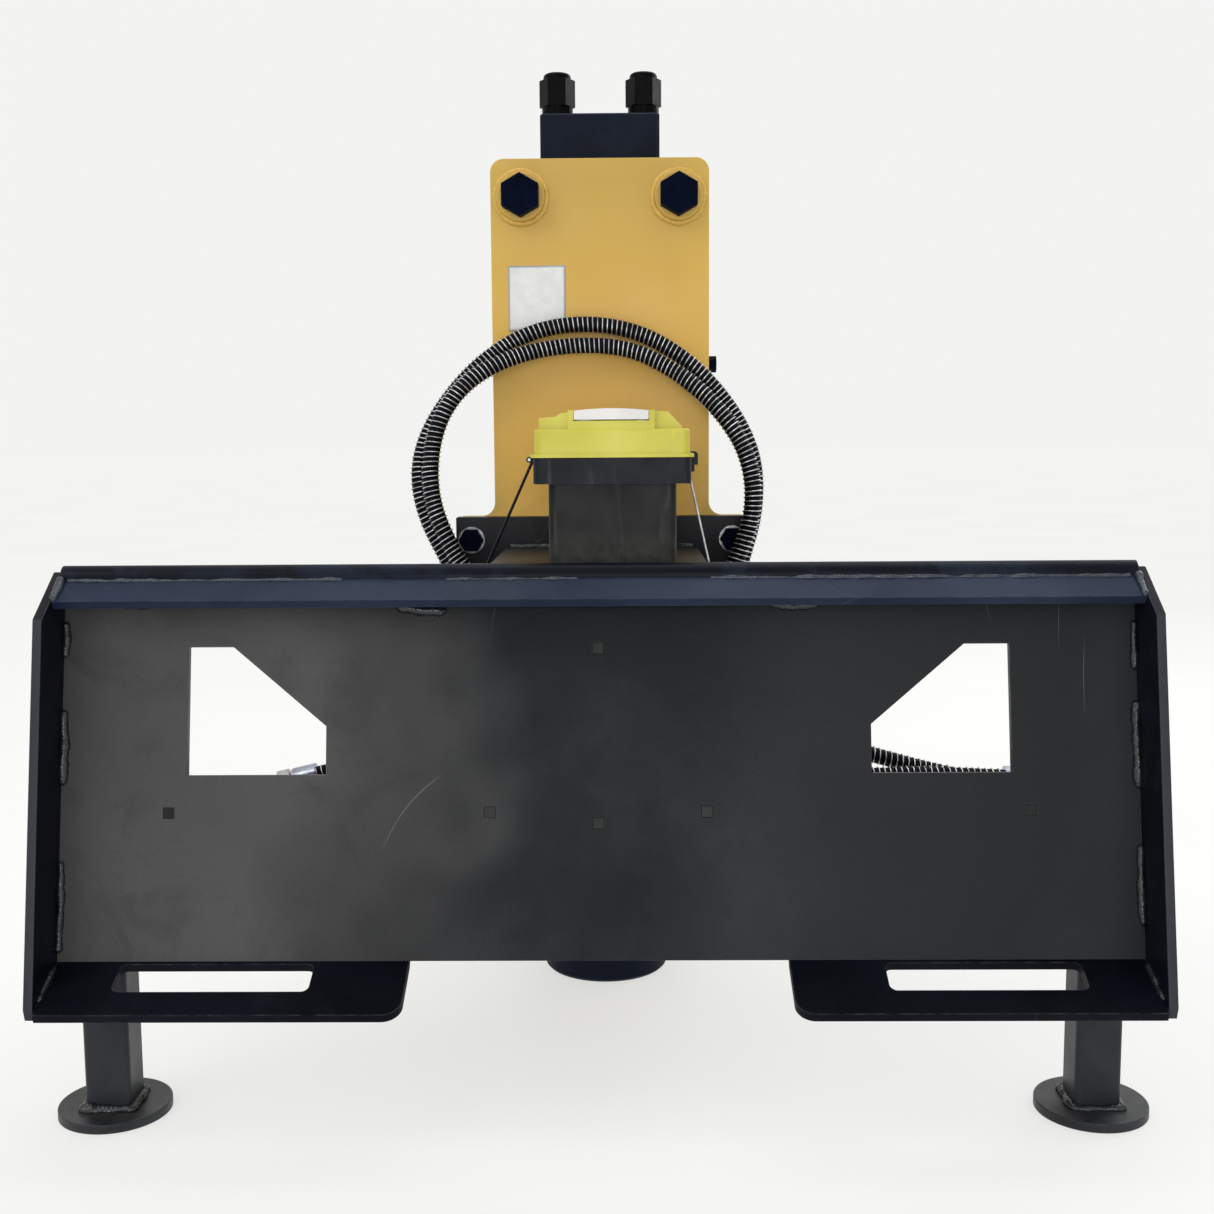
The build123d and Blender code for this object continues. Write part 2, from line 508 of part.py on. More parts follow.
# side latch with its cross pin
lt = bx(X + 89.0, X + 98.0, LY0 - 5, LY1 + 5, 706.6, 722.0)
lt = fillet(lt.edges().filter_by(Axis.Y).group_by(Axis.Z)[-1].sort_by(Axis.X)[-1], 4)
lt = lt + bx(X + 88.8, X + 94, LY0 - 5, LY0 - 0.4, 699, 706.6) + bx(X + 88.8, X + 94, LY1 + 0.4, LY1 + 5, 699, 706.6)
lt = lt + cy(LPX, LPZ, LY0 - 5, LY1 + 5, 1.5)
out["toolbox_latch"] = lt

# wire ties that hold the box down on the shelf


def rod(p0, p1, r):
    ln_ = Line(p0, p1)
    return sweep(Plane(origin=p0, z_dir=(p1[0] - p0[0], p1[1] - p0[1], p1[2] - p0[2])) * Circle(r), path=ln_)


yl = BOX_Y0 + 14.0
out["hold_down_tie_left"] = rod((X - 87.3, yl, 712.0), (-SHELF_HW - 4.0, yl + 30, 597.0), 1.6) + rod((-SHELF_HW - 4.0, yl + 30, 598.5), (-SHELF_HW - 4.0, yl + 30, 586.0), 1.6) + rod((-SHELF_HW - 5.6, yl + 30, 587.0), (-SHELF_HW + 5.0, yl + 30, 587.0), 1.6) + rod((X - 88.6, yl, 711.4), (X - 85.6, yl, 711.4), 1.6)
yr = LY0 - 10.0
out["hold_down_tie_right"] = rod((X + 87.3, yr, 697.0), (SHELF_HW + 4.0, yr - 20, 597.0), 1.3) + rod((SHELF_HW + 4.0, yr - 20, 598.5), (SHELF_HW + 4.0, yr - 20, 586.0), 1.3) + rod((SHELF_HW + 5.3, yr - 20, 587.3), (SHELF_HW - 5.0, yr - 20, 587.3), 1.3) + rod((X + 88.4, yr, 696.4), (X + 85.6, yr, 696.4), 1.3)

# ---------------------------------------------------------------- hoses
HOSE_A = [(-363.0, 356.0, 315.0), (-241.7, 358.0, 344.2), (-182.8, 359.5, 395.4), (-160.0, 361.0, 470.0), (-180.0, 364.0, 563.0),
          (-228.0, 369.0, 652.0), (-228.0, 379.0, 733.0), (-166.0, 392.0, 823.0), (-78.3, 402.0, 879.5), (34.3, 402.0, 879.5),
          (124.0, 396.0, 826.0), (188.0, 384.0, 738.0), (197.0, 374.0, 655.0), (172.0, 366.0, 570.0), (153.0, 364.0, 510.0),
          (157.0, 362.0, 450.0), (182.0, 361.0, 400.0), (228.0, 360.0, 364.0), (325.0, 361.0, 341.0), (418.0, 362.0, 314.0), (502.0, 361.0, 297.0)]
HOSE_B = [(-262.0, 330.0, 331.0), (-206.0, 332.0, 361.0), (-166.0, 334.0, 412.0), (-148.0, 336.0, 478.0), (-150.0, 338.0, 545.0),
          (-187.0, 340.0, 604.0), (-212.0, 344.0, 668.0), (-208.0, 352.0, 742.0), (-180.0, 361.0, 796.0), (-128.0, 375.5, 833.0),
          (-55.0, 389.0, 853.0), (30.0, 389.0, 852.0), (92.0, 379.0, 822.0), (148.0, 365.0, 773.0), (184.0, 353.0, 715.0),
          (190.0, 346.0, 650.0), (170.0, 342.0, 590.0), (141.0, 339.5, 530.0), (129.0, 338.0, 478.0), (128.0, 336.5, 424.0),
          (148.0, 335.0, 375.0), (184.0, 334.0, 338.0), (233.0, 334.0, 318.0), (322.0, 335.0, 314.0), (415.0, 336.0, 317.0), (502.0, 335.0, 312.0)]
HS = {"hose_a": HOSE_A, "hose_b": HOSE_B}


def vsub(a, b):
    return (a[0] - b[0], a[1] - b[1], a[2] - b[2])


def vlen(a):
    return math.sqrt(a[0] ** 2 + a[1] ** 2 + a[2] ** 2)


def corner_radii(pts):
    rs = []
    for i in range(1, len(pts) - 1):
        u, v = vsub(pts[i], pts[i - 1]), vsub(pts[i + 1], pts[i])
        lu, lv = vlen(u), vlen(v)
        c = max(-1, min(1, (u[0] * v[0] + u[1] * v[1] + u[2] * v[2]) / (lu * lv)))
        t = math.acos(c)
        rs.append(0.45 * min(lu, lv) / math.tan(t / 2))
    return rs


ferr, nuts, capsx = [], [], []
for nm, pts in HS.items():
    rs = corner_radii(pts)
    path = FilletPolyline(*pts, radius=rs)
    d0 = vsub(pts[1], pts[0])
    sec = Plane(origin=pts[0], z_dir=d0) * Circle(HOSE_D / 2)
    hose = sweep(sec, path=path)
    print(nm, "length %.1f" % path.length, "volume ratio %.4f" % (hose.volume / (math.pi * (HOSE_D / 2) ** 2 * path.length)))
    print("   radii", [round(r) for r in rs])
    print("   runs", [round(vlen(vsub(pts[i + 1], pts[i]))) for i in range(len(pts) - 1)])
    out[nm] = hose
    ends = ((pts[0], vsub(pts[0], pts[1]), "left"), (pts[-1], vsub(pts[-1], pts[-2]), "right"))
    for e, d, side in ends:
        L = vlen(d)
        u = (d[0] / L, d[1] / L, d[2] / L)
        pl = Plane(origin=e, z_dir=u)
        f = pl * extrude(Circle(14.5), 30)
        f = f + (pl * Pos(0, 0, 30) * extrude(Circle(9.0), 4))
        n = pl * Pos(0, 0, 34) * extrude(RegularPolygon(27 / math.sqrt(3), 6), 16)
        n = n + (pl * Pos(0, 0, 50) * extrude(Circle(11.5), 6))
        c = pl * Pos(0, 0, 56) * extrude(Circle(12.5), 10)
        ferr.append(f)
        nuts.append(n)
        capsx.append(c)

out["hose_ferrules"] = group(*ferr)
out["hose_nuts"] = group(*nuts)
out["hose_end_caps"] = group(*capsx)

MOVE = Pos(0, Y_SHIFT, 0)
lo = [1e9] * 3
hi = [-1e9] * 3
total = 0
for name, shape in out.items():
    s = MOVE * shape
    solids = s.solids()
    if len(solids) == 1:
        s = solids[0]
    else:
        s = Compound(children=list(solids))
    export_step(s, "parts/%s.step" % name)
    b = s.bounding_box()
    if not name.startswith("hose_"):
        lo = [min(a, c) for a, c in zip(lo, (b.min.X, b.min.Y, b.min.Z))]
        hi = [max(a, c) for a, c in zip(hi, (b.max.X, b.max.Y, b.max.Z))]
    total += 1
    print("%-26s n=%d v=%.1f  x[%.1f %.1f] y[%.1f %.1f] z[%.1f %.1f] valid=%s" % (name, len(solids), s.volume / 1000, b.min.X, b.max.X, b.min.Y, b.max.Y, b.min.Z, b.max.Z, all(q.is_valid for q in solids)))
print("nodes", total, "box", [round(v, 1) for v in lo], [round(v, 1) for v in hi])
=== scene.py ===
import math
import random

import bmesh
import bpy
from mathutils import Matrix, Vector, noise as mnoise


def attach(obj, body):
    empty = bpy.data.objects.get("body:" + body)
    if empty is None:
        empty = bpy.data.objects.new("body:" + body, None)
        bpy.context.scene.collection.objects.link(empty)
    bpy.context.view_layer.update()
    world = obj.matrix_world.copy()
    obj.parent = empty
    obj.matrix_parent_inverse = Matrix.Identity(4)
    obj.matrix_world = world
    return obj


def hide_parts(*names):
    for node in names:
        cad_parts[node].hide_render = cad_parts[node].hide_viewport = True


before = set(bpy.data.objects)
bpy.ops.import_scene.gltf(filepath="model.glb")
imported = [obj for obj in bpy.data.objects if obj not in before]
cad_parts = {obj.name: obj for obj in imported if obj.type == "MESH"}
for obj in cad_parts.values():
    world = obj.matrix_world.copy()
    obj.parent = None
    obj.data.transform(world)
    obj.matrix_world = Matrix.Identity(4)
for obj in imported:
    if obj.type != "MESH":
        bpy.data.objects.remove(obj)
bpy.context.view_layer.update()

ROOT = "breaker_unit"
YS = -314.45
TILT = math.radians(11.0)
CT, ST = math.cos(TILT), math.sin(TILT)
scene = bpy.context.scene
scene.view_settings.view_transform = "Standard"
scene.view_settings.look = "None"


def P(x, y, z):
    """Build-frame millimetres to scene metres."""
    return Vector((x / 1000.0, (y + YS) / 1000.0, z / 1000.0))


def T(u, n, v):
    """Attach-plate frame millimetres (u along, n behind the face, v up the plate) to scene metres."""
    return P(u, n * CT + v * ST, 198.0 - n * ST + v * CT)


# ------------------------------------------------------------------ camera
def make_camera():
    cam_data = bpy.data.cameras.new("view_camera")
    cam_data.sensor_width = 36.0
    cam_data.lens = 1480.0 / 1214.0 * 36.0
    cam_data.clip_start = 0.05
    cam_data.clip_end = 200.0
    cam = bpy.data.objects.new("view_camera", cam_data)
    scene.collection.objects.link(cam)
    ya, pi_, ro = 0.01198, 0.11664, -0.006685
    r = Vector((math.cos(ya), math.sin(ya), 0))
    fw = Vector((-math.sin(ya) * math.cos(pi_), math.cos(ya) * math.cos(pi_), -math.sin(pi_)))
    up = Vector((-math.sin(ya) * math.sin(pi_), math.cos(ya) * math.sin(pi_), math.cos(pi_)))
    r2 = math.cos(ro) * r + math.sin(ro) * up
    u2 = math.cos(ro) * up - math.sin(ro) * r
    m = Matrix.Identity(4)
    for i in range(3):
        m[i][0], m[i][1], m[i][2] = r2[i], u2[i], -fw[i]
    loc = P(28.62, -1486.97, 742.92)
    m[0][3], m[1][3], m[2][3] = loc
    cam.matrix_world = m
    scene.camera = cam


make_camera()


# ------------------------------------------------------------------ node helpers
class Mat:
    """One procedural material.  Texture space is the object's own metres."""

    def __init__(self, name):
        self.m = bpy.data.materials.new(name)
        self.m.use_nodes = True
        self.nt = self.m.node_tree
        self.nt.nodes.clear()
        self.out = self.nt.nodes.new("ShaderNodeOutputMaterial")
        self.b = self.nt.nodes.new("ShaderNodeBsdfPrincipled")
        self.nt.links.new(self.b.outputs[0], self.out.inputs[0])
        self.co = self.nt.nodes.new("ShaderNodeTexCoord").outputs["Object"]
        self._n = None

    def new(self, kind, **props):
        n = self.nt.nodes.new(kind)
        for k, v in props.items():
            setattr(n, k, v)
        return n

    def put(self, sock, v):
        if isinstance(v, bpy.types.NodeSocket):
            self.nt.links.new(v, sock)
        else:
            sock.default_value = v

    def vec(self, scale=(1, 1, 1), rot=(0, 0, 0), loc=(0, 0, 0), src=None):
        n = self.new("ShaderNodeMapping")
        self.nt.links.new(src or self.co, n.inputs["Vector"])
        n.inputs["Scale"].default_value = scale
        n.inputs["Rotation"].default_value = rot
        n.inputs["Location"].default_value = loc
        return n.outputs[0]

    def noise(self, scale, detail=3.0, rough=0.5, dist=0.0, vec=None):
        n = self.new("ShaderNodeTexNoise")
        self.nt.links.new(vec or self.co, n.inputs["Vector"])
        n.inputs["Scale"].default_value = scale
        n.inputs["Detail"].default_value = detail
        n.inputs["Roughness"].default_value = rough
        n.inputs["Distortion"].default_value = dist
        return n.outputs["Fac"] if "Fac" in n.outputs else n.outputs[0]

    def voronoi(self, scale, feature="F1", vec=None, out="Distance", rand=1.0):
        n = self.new("ShaderNodeTexVoronoi", feature=feature)
        self.nt.links.new(vec or self.co, n.inputs["Vector"])
        n.inputs["Scale"].default_value = scale
        n.inputs["Randomness"].default_value = rand
        return n.outputs[out]

    def wave(self, scale, vec=None, dist=0.0, dscale=1.0, kind="BANDS", direction="X", profile="SIN", detail=2.0):
        n = self.new("ShaderNodeTexWave", wave_type=kind, wave_profile=profile)
        if kind == "BANDS":
            n.bands_direction = direction
        self.nt.links.new(vec or self.co, n.inputs["Vector"])
        n.inputs["Scale"].default_value = scale
        n.inputs["Distortion"].default_value = dist
        n.inputs["Detail"].default_value = detail
        n.inputs["Detail Scale"].default_value = dscale
        return n.outputs["Fac"]

    def ramp(self, fac, stops, interp="LINEAR"):
        n = self.new("ShaderNodeValToRGB")
        self.nt.links.new(fac, n.inputs[0])
        cr = n.color_ramp
        cr.interpolation = interp
        while len(cr.elements) > 1:
            cr.elements.remove(cr.elements[-1])
        cr.elements[0].position = stops[0][0]
        c = stops[0][1]
        cr.elements[0].color = c if len(c) == 4 else (*c, 1)
        for p, c in stops[1:]:
            e = cr.elements.new(p)
            e.color = c if len(c) == 4 else (*c, 1)
        return n.outputs[0]

    def grey(self, fac, a, b, lo=0.0, hi=1.0):
        """Map fac from [a, b] to [lo, hi], clamped."""
        n = self.new("ShaderNodeMapRange")
        n.clamp = True
        self.nt.links.new(fac, n.inputs["Value"])
        n.inputs["From Min"].default_value = a
        n.inputs["From Max"].default_value = b
        n.inputs["To Min"].default_value = lo
        n.inputs["To Max"].default_value = hi
        return n.outputs[0]

    def mix(self, fac, a, b, blend="MIX"):
        n = self.new("ShaderNodeMix", data_type="RGBA", blend_type=blend)
        self.put(n.inputs[0], fac)
        for sock, v in ((n.inputs[6], a), (n.inputs[7], b)):
            if isinstance(v, bpy.types.NodeSocket):
                self.nt.links.new(v, sock)
            else:
                sock.default_value = v if len(v) == 4 else (*v, 1)
        return n.outputs[2]

    def math(self, op, a, b=0.5, c=None, clamp=False):
        n = self.new("ShaderNodeMath", operation=op, use_clamp=clamp)
        self.put(n.inputs[0], a)
        if b is not None:
            self.put(n.inputs[1], b)
        if c is not None:
            self.put(n.inputs[2], c)
        return n.outputs[0]

    def axis(self, which):
        n = self.new("ShaderNodeSeparateXYZ")
        self.nt.links.new(self.co, n.inputs[0])
        return n.outputs[which]

    def normal_axis(self, which):
        g = self.new("ShaderNodeNewGeometry")
        n = self.new("ShaderNodeSeparateXYZ")
        self.nt.links.new(g.outputs["True Normal"], n.inputs[0])
        return n.outputs[which]

    def edge(self, radius):
        """1 near a sharp convex or concave edge, 0 on flats."""
        bv = self.new("ShaderNodeBevel", samples=4)
        bv.inputs["Radius"].default_value = radius
        g = self.new("ShaderNodeNewGeometry")
        d = self.new("ShaderNodeVectorMath", operation="DOT_PRODUCT")
        self.nt.links.new(bv.outputs[0], d.inputs[0])
        self.nt.links.new(g.outputs["Normal"], d.inputs[1])
        return self.grey(d.outputs["Value"], 0.995, 0.80)

    def bump(self, height, strength=0.3, dist=0.001):
        n = self.new("ShaderNodeBump")
        n.inputs["Strength"].default_value = strength
        n.inputs["Distance"].default_value = dist
        self.nt.links.new(height, n.inputs["Height"])
        if self._n is not None:
            self.nt.links.new(self._n, n.inputs["Normal"])
        self._n = n.outputs[0]
        return self._n

    def done(self, color, rough, metallic=0.0, spec=0.5, coat=0.0, coat_rough=0.1, ior=1.5, sheen=0.0, trans=0.0, sss=0.0):
        b = self.b
        self.put(b.inputs["Base Color"], color if isinstance(color, bpy.types.NodeSocket) else (*color, 1))
        self.put(b.inputs["Roughness"], rough)
        b.inputs["Metallic"].default_value = metallic
        b.inputs["Specular IOR Level"].default_value = spec
        b.inputs["Coat Weight"].default_value = coat
        b.inputs["Coat Roughness"].default_value = coat_rough
        b.inputs["IOR"].default_value = ior
        b.inputs["Sheen Weight"].default_value = sheen
        b.inputs["Transmission Weight"].default_value = trans
        if sss:
            b.inputs["Subsurface Weight"].default_value = sss
            b.inputs["Subsurface Radius"].default_value = (1.0, 1.0, 1.0)
            b.inputs["Subsurface Scale"].default_value = 0.003
        if self._n is not None:
            self.nt.links.new(self._n, b.inputs["Normal"])
        return self.m


def lin(r, g, b):
    """sRGB 0-255 to linear."""
    def f(c):
        c /= 255.0
        return c / 12.92 if c <= 0.04045 else ((c + 0.055) / 1.055) ** 2.4
    return (f(r), f(g), f(b))


# ------------------------------------------------------------------ materials
def enamel(name, dark, light, patch=2.2, rough=(0.28, 0.46), spec=0.5, edge_wear_and_painted_light=(0.16, 0.16, 0.17), edge_wear_and_painted_light_amount=0.5,
           peel=0.30, scratch=0.5, dust=0.0, dust_col=(0.25, 0.24, 0.22), painted_light_tone=None):
    m = Mat(name)
    big = m.noise(patch, 4.0, 0.55, 0.6)
    # when given, the tone function paints light, shade and reflection zones into the base colour
    col = painted_light_tone(m, big) if painted_light_tone else m.ramp(big, [(0.34, dark), (0.66, light)])
    # cloudy handling marks
    cloud = m.noise(9.0, 6.0, 0.62, 1.2)
    col = m.mix(m.grey(cloud, 0.50, 0.78, 0.0, 0.45), col, tuple(min(1, c * 1.5 + 0.006) for c in light))
    # fine speckle in the film
    speck = m.noise(900.0, 2.0, 0.5)
    col = m.mix(m.grey(speck, 0.3, 0.7, 0.0, 0.22), col, tuple(c * 0.55 for c in dark))
    # light dust grains
    grit = m.voronoi(230.0)
    gm = m.math("MULTIPLY", m.grey(grit, 0.055, 0.02), m.grey(m.noise(14.0, 2.0), 0.52, 0.66))
    col = m.mix(m.math("MULTIPLY", gm, 0.6), col, (0.30, 0.29, 0.27))
    # hairline scratches: thin level sets of stretched noise, only in some patches
    if scratch:
        total = None
        for i, (rot, sc, seed) in enumerate((((0.1, 0.42, 0.9), (5.0, 5.0, 0.5), 3.1), ((0.0, -0.65, -0.7), (4.2, 4.2, 0.45), 7.7))):
            v = m.vec(scale=sc, rot=rot, loc=(seed, seed * 0.37, -seed))
            n = m.noise(1.3, 0.0, 0.4, 0.0, vec=v)
            line = m.grey(m.math("ABSOLUTE", m.math("SUBTRACT", n, 0.5)), 0.00075, 0.0002)
            where = m.grey(m.noise(5.0 + i, 2.0, 0.5, vec=m.vec(loc=(seed, 0, 0))), 0.60, 0.68)
            line = m.math("MULTIPLY", line, where)
            total = line if total is None else m.math("MAXIMUM", total, line)
        col = m.mix(m.math("MULTIPLY", total, scratch), col, (0.22, 0.22, 0.215))
    # worn edges and painted edge highlight: edges painted lighter, broken up by noise
    e = m.math("MULTIPLY", m.edge(0.0022), m.grey(m.noise(60.0, 5.0, 0.65), 0.40, 0.70))
    col = m.mix(m.math("MULTIPLY", e, edge_wear_and_painted_light_amount), col, edge_wear_and_painted_light)
    if dust:
        up = m.grey(m.normal_axis(2), 0.3, 0.95)
        dn = m.grey(m.noise(35.0, 6.0, 0.7), 0.35, 0.75)
        col = m.mix(m.math("MULTIPLY", m.math("MULTIPLY", up, dn), dust), col, dust_col)
    rg = m.grey(m.noise(6.0, 5.0, 0.6), 0.3, 0.7, rough[0], rough[1])
    # orange peel, and slow waviness of rolled plate
    m.bump(m.noise(330.0, 2.5, 0.5), peel, 0.0004)
    m.bump(m.noise(24.0, 3.0, 0.5), 0.10, 0.0012)
    return m.done(col, rg, 0.0, spec)


def yellow_enamel():
    m = Mat("yellow_enamel")
    z = m.axis(2)
    x = m.axis(0)
    # painted light: the plate is painted brighter towards its lower part and darker at the top, evening out the shade
    # the box and attach plate cast low on it
    base = m.ramp(m.grey(z, 0.62, 1.06), [(0.0, lin(246, 194, 84)), (0.40, lin(214, 170, 80)), (1.0, lin(182, 150, 68))])
    # lighter outer thirds, slightly pinker middle, cloudy
    base = m.mix(m.grey(m.noise(5.0, 4.0, 0.55, 0.5), 0.38, 0.68, 0.0, 0.35), base, lin(198, 158, 88))
    side = m.grey(m.math("ABSOLUTE", x), 0.09, 0.137, 0.0, 0.35)
    base = m.mix(side, base, lin(202, 168, 66))
    # dusty dull bloom and fine dark overspray specks
    base = m.mix(m.grey(m.noise(1100.0, 2.0), 0.55, 0.75, 0.0, 0.22), base, lin(150, 112, 60))
    specks = m.math("MULTIPLY", m.grey(m.voronoi(260.0), 0.06, 0.02), m.grey(m.noise(10.0, 3.0), 0.54, 0.62))
    base = m.mix(m.math("MULTIPLY", specks, 0.5), base, lin(120, 90, 50))
    # darker and mottled towards the bottom of the plate
    low = m.math("MULTIPLY", m.grey(z, 0.74, 0.63), m.grey(m.noise(30.0, 6.0, 0.7), 0.38, 0.7))
    base = m.mix(m.math("MULTIPLY", low, 0.25), base, lin(130, 100, 56))
    # worn edges and painted edge highlight: edges painted lighter, broken up by noise
    e = m.math("MULTIPLY", m.edge(0.002), m.grey(m.noise(45.0, 5.0, 0.65), 0.42, 0.66))
    base = m.mix(m.math("MULTIPLY", e, 0.45), base, lin(226, 200, 120))
    rg = m.grey(m.noise(12.0, 4.0), 0.3, 0.7, 0.42, 0.58)
    m.bump(m.noise(420.0, 2.5, 0.5), 0.28, 0.0003)
    m.bump(m.noise(30.0, 3.0, 0.5), 0.08, 0.0010)
    return m.done(base, rg, 0.0, 0.35)


def bead_material(name, base, shine, spec=0.5):
    m = Mat(name)
    n = m.noise(140.0, 4.0, 0.6)
    col = m.ramp(n, [(0.3, base), (0.72, shine)])
    col = m.mix(m.grey(m.noise(700.0, 2.0), 0.5, 0.8, 0.0, 0.4), col, base)
    m.bump(m.noise(420.0, 3.0, 0.6), 0.5, 0.0006)
    rg = m.grey(m.noise(90.0, 3.0), 0.3, 0.7, 0.18, 0.42)
    return m.done(col, rg, 0.0, spec)


def steel(name, col, col2, rough=(0.28, 0.5), metallic=1.0, scale=300.0, spec=0.5, oxide=None, oxide_amt=0.0, grain=(1, 1, 1)):
    m = Mat(name)
    v = m.vec(scale=grain)
    c = m.ramp(m.noise(scale * 0.25, 4.0, 0.6, 0.3, vec=v), [(0.3, col), (0.7, col2)])
    if oxide is not None:
        c = m.mix(m.grey(m.noise(60.0, 5.0, 0.65), 0.48, 0.7, 0.0, oxide_amt), c, oxide)
    # worn edges and painted edge highlight: edges painted lighter, broken up by noise
    e = m.math("MULTIPLY", m.edge(0.0010), m.grey(m.noise(150.0, 4.0), 0.35, 0.65))
    c = m.mix(m.math("MULTIPLY", e, 0.4), c, tuple(min(1, x * 2.0 + 0.03) for x in col2))
    rg = m.grey(m.noise(scale * 0.4, 3.0, 0.6, vec=v), 0.3, 0.7, rough[0], rough[1])
    m.bump(m.noise(scale * 2.0, 2.0, 0.5, vec=v), 0.18, 0.0002)
    return m.done(c, rg, metallic, spec)


def plastic(name, dark, light, rough=(0.35, 0.5), grain=1500.0, depth=0.25, spec=0.4, dust=0.0, scuff=0.3, sss=0.0, coat=0.0):
    m = Mat(name)
    col = m.ramp(m.noise(14.0, 4.0, 0.55), [(0.3, dark), (0.7, light)])
    sc = m.noise(6.0, 2.0, 0.5, 0.2, vec=m.vec(scale=(30, 30, 4), rot=(0.5, 0.2, 0.3)))
    col = m.mix(m.math("MULTIPLY", m.grey(sc, 0.66, 0.72), scuff), col, tuple(min(1, c * 1.35 + 0.012) for c in light))
    # worn edges and painted edge highlight: edges painted lighter, broken up by noise
    e = m.math("MULTIPLY", m.edge(0.0009), m.grey(m.noise(120.0, 4.0), 0.35, 0.65))
    col = m.mix(m.math("MULTIPLY", e, 0.3), col, tuple(min(1, c * 1.5 + 0.02) for c in light))
    if dust:
        up = m.grey(m.normal_axis(2), 0.3, 0.95)
        col = m.mix(m.math("MULTIPLY", m.math("MULTIPLY", up, m.grey(m.noise(40.0, 6.0, 0.7), 0.35, 0.75)), dust), col, (0.45, 0.43, 0.38))
    rg = m.grey(m.noise(25.0, 4.0), 0.3, 0.7, rough[0], rough[1])
    m.bump(m.noise(grain, 2.0, 0.5), depth, 0.00012)
    return m.done(col, rg, 0.0, spec, sss=sss, coat=coat)


def rubber_cover():
    m = Mat("hose_cover")
    col = m.ramp(m.noise(90.0, 4.0, 0.6), [(0.3, lin(2, 3, 7)), (0.75, lin(9, 12, 22))])
    col = m.mix(m.grey(m.noise(500.0, 3.0, 0.6), 0.62, 0.76, 0.0, 0.3), col, lin(40, 42, 46))
    m.bump(m.noise(900.0, 2.0), 0.4, 0.0002)
    return m.done(col, m.grey(m.noise(60.0, 3.0), 0.3, 0.7, 0.45, 0.65), 0.0, 0.06)


def wire_guard():
    m = Mat("guard_wire")
    col = m.ramp(m.noise(75.0, 3.0, 0.6), [(0.28, lin(120, 120, 122)), (0.55, lin(205, 205, 206)), (0.8, lin(236, 236, 236))])
    col = m.mix(m.grey(m.noise(22.0, 4.0, 0.6), 0.52, 0.72, 0.0, 0.65), col, lin(70, 72, 78))
    m.bump(m.noise(1200.0, 2.0), 0.2, 0.0001)
    return m.done(col, m.grey(m.noise(200.0, 3.0), 0.3, 0.7, 0.22, 0.40), 0.85, 0.5)


def sticker():
    """Blank pale sheet with a soft grey border, nothing printed on it."""
    m = Mat("plain_sticker")
    x, z = m.axis(0), m.axis(2)
    w = lambda s, a, b: m.math("MULTIPLY", m.math("GREATER_THAN", s, a), m.math("LESS_THAN", s, b))
    col = m.mix(m.grey(m.noise(60.0, 4.0), 0.3, 0.7), lin(200, 202, 202), lin(216, 217, 216))
    inner = m.math("MULTIPLY", w(z, 0.8745, 0.9520), w(x, -0.1145, -0.0459))
    col = m.mix(m.math("SUBTRACT", 1.0, inner), col, lin(158, 161, 164))
    col = m.mix(m.grey(m.noise(300.0, 3.0), 0.6, 0.8, 0.0, 0.25), col, lin(150, 146, 130))
    m.bump(m.noise(200.0, 2.0), 0.08, 0.0003)
    return m.done(col, m.grey(m.noise(30.0, 3.0), 0.3, 0.7, 0.30, 0.42), 0.0, 0.4)


def plate_painted_reflection_tone(m, big):
    """Rolled plate with three broad zones of painted reflection: lighter grey at one side, blue-black in the middle,
    mid grey at the other.
    """
    x = m.math("ADD", m.axis(0), m.math("MULTIPLY", m.math("SUBTRACT", m.noise(3.0, 3.0, 0.5), 0.5), 0.42))
    x = m.grey(x, -0.60, 0.60)
    g = lambda v, b=0: lin(v, v + 0.4 * b, v + b)
    col = m.ramp(x, [(0.0, g(76)), (0.20, g(80)), (0.30, g(64, 1)), (0.41, g(12, 9)), (0.55, g(12, 9)), (0.68, g(36, 5)), (0.9, g(36, 5)), (1.0, g(46, 3))], "EASE")
    return m.mix(m.grey(big, 0.3, 0.7, 0.0, 0.35), col, lin(30, 32, 36))


def bar_painted_light_tone(m, big):
    """Painted light: a lighter sloping bar face under a rolled edge painted darker as shade, both one paint."""
    y, z = m.axis(1), m.axis(2)
    v = m.math("ADD", m.math("MULTIPLY", m.math("ADD", y, -YS / 1000.0), ST), m.math("MULTIPLY", m.math("ADD", z, -0.198), CT))
    wob = m.math("MULTIPLY", m.math("SUBTRACT", m.noise(30.0, 4.0, 0.6), 0.5), 0.004)
    painted_shade_roll = m.grey(m.math("ADD", v, wob), 0.3972, 0.3992)
    face = m.ramp(big, [(0.34, lin(28, 37, 56)), (0.66, lin(40, 49, 68))])
    return m.mix(painted_shade_roll, face, lin(3, 7, 18))


def end_painted_light_tone(m, big):
    side = m.ramp(big, [(0.34, lin(3, 5, 12)), (0.66, lin(12, 16, 26))])
    # painted highlight: faces turned towards -Y, toward the lamps in front, are painted a lighter grey than the dark
    # sides
    front = m.grey(m.normal_axis(1), -0.6, -0.9)
    return m.mix(front, side, lin(48, 51, 57))


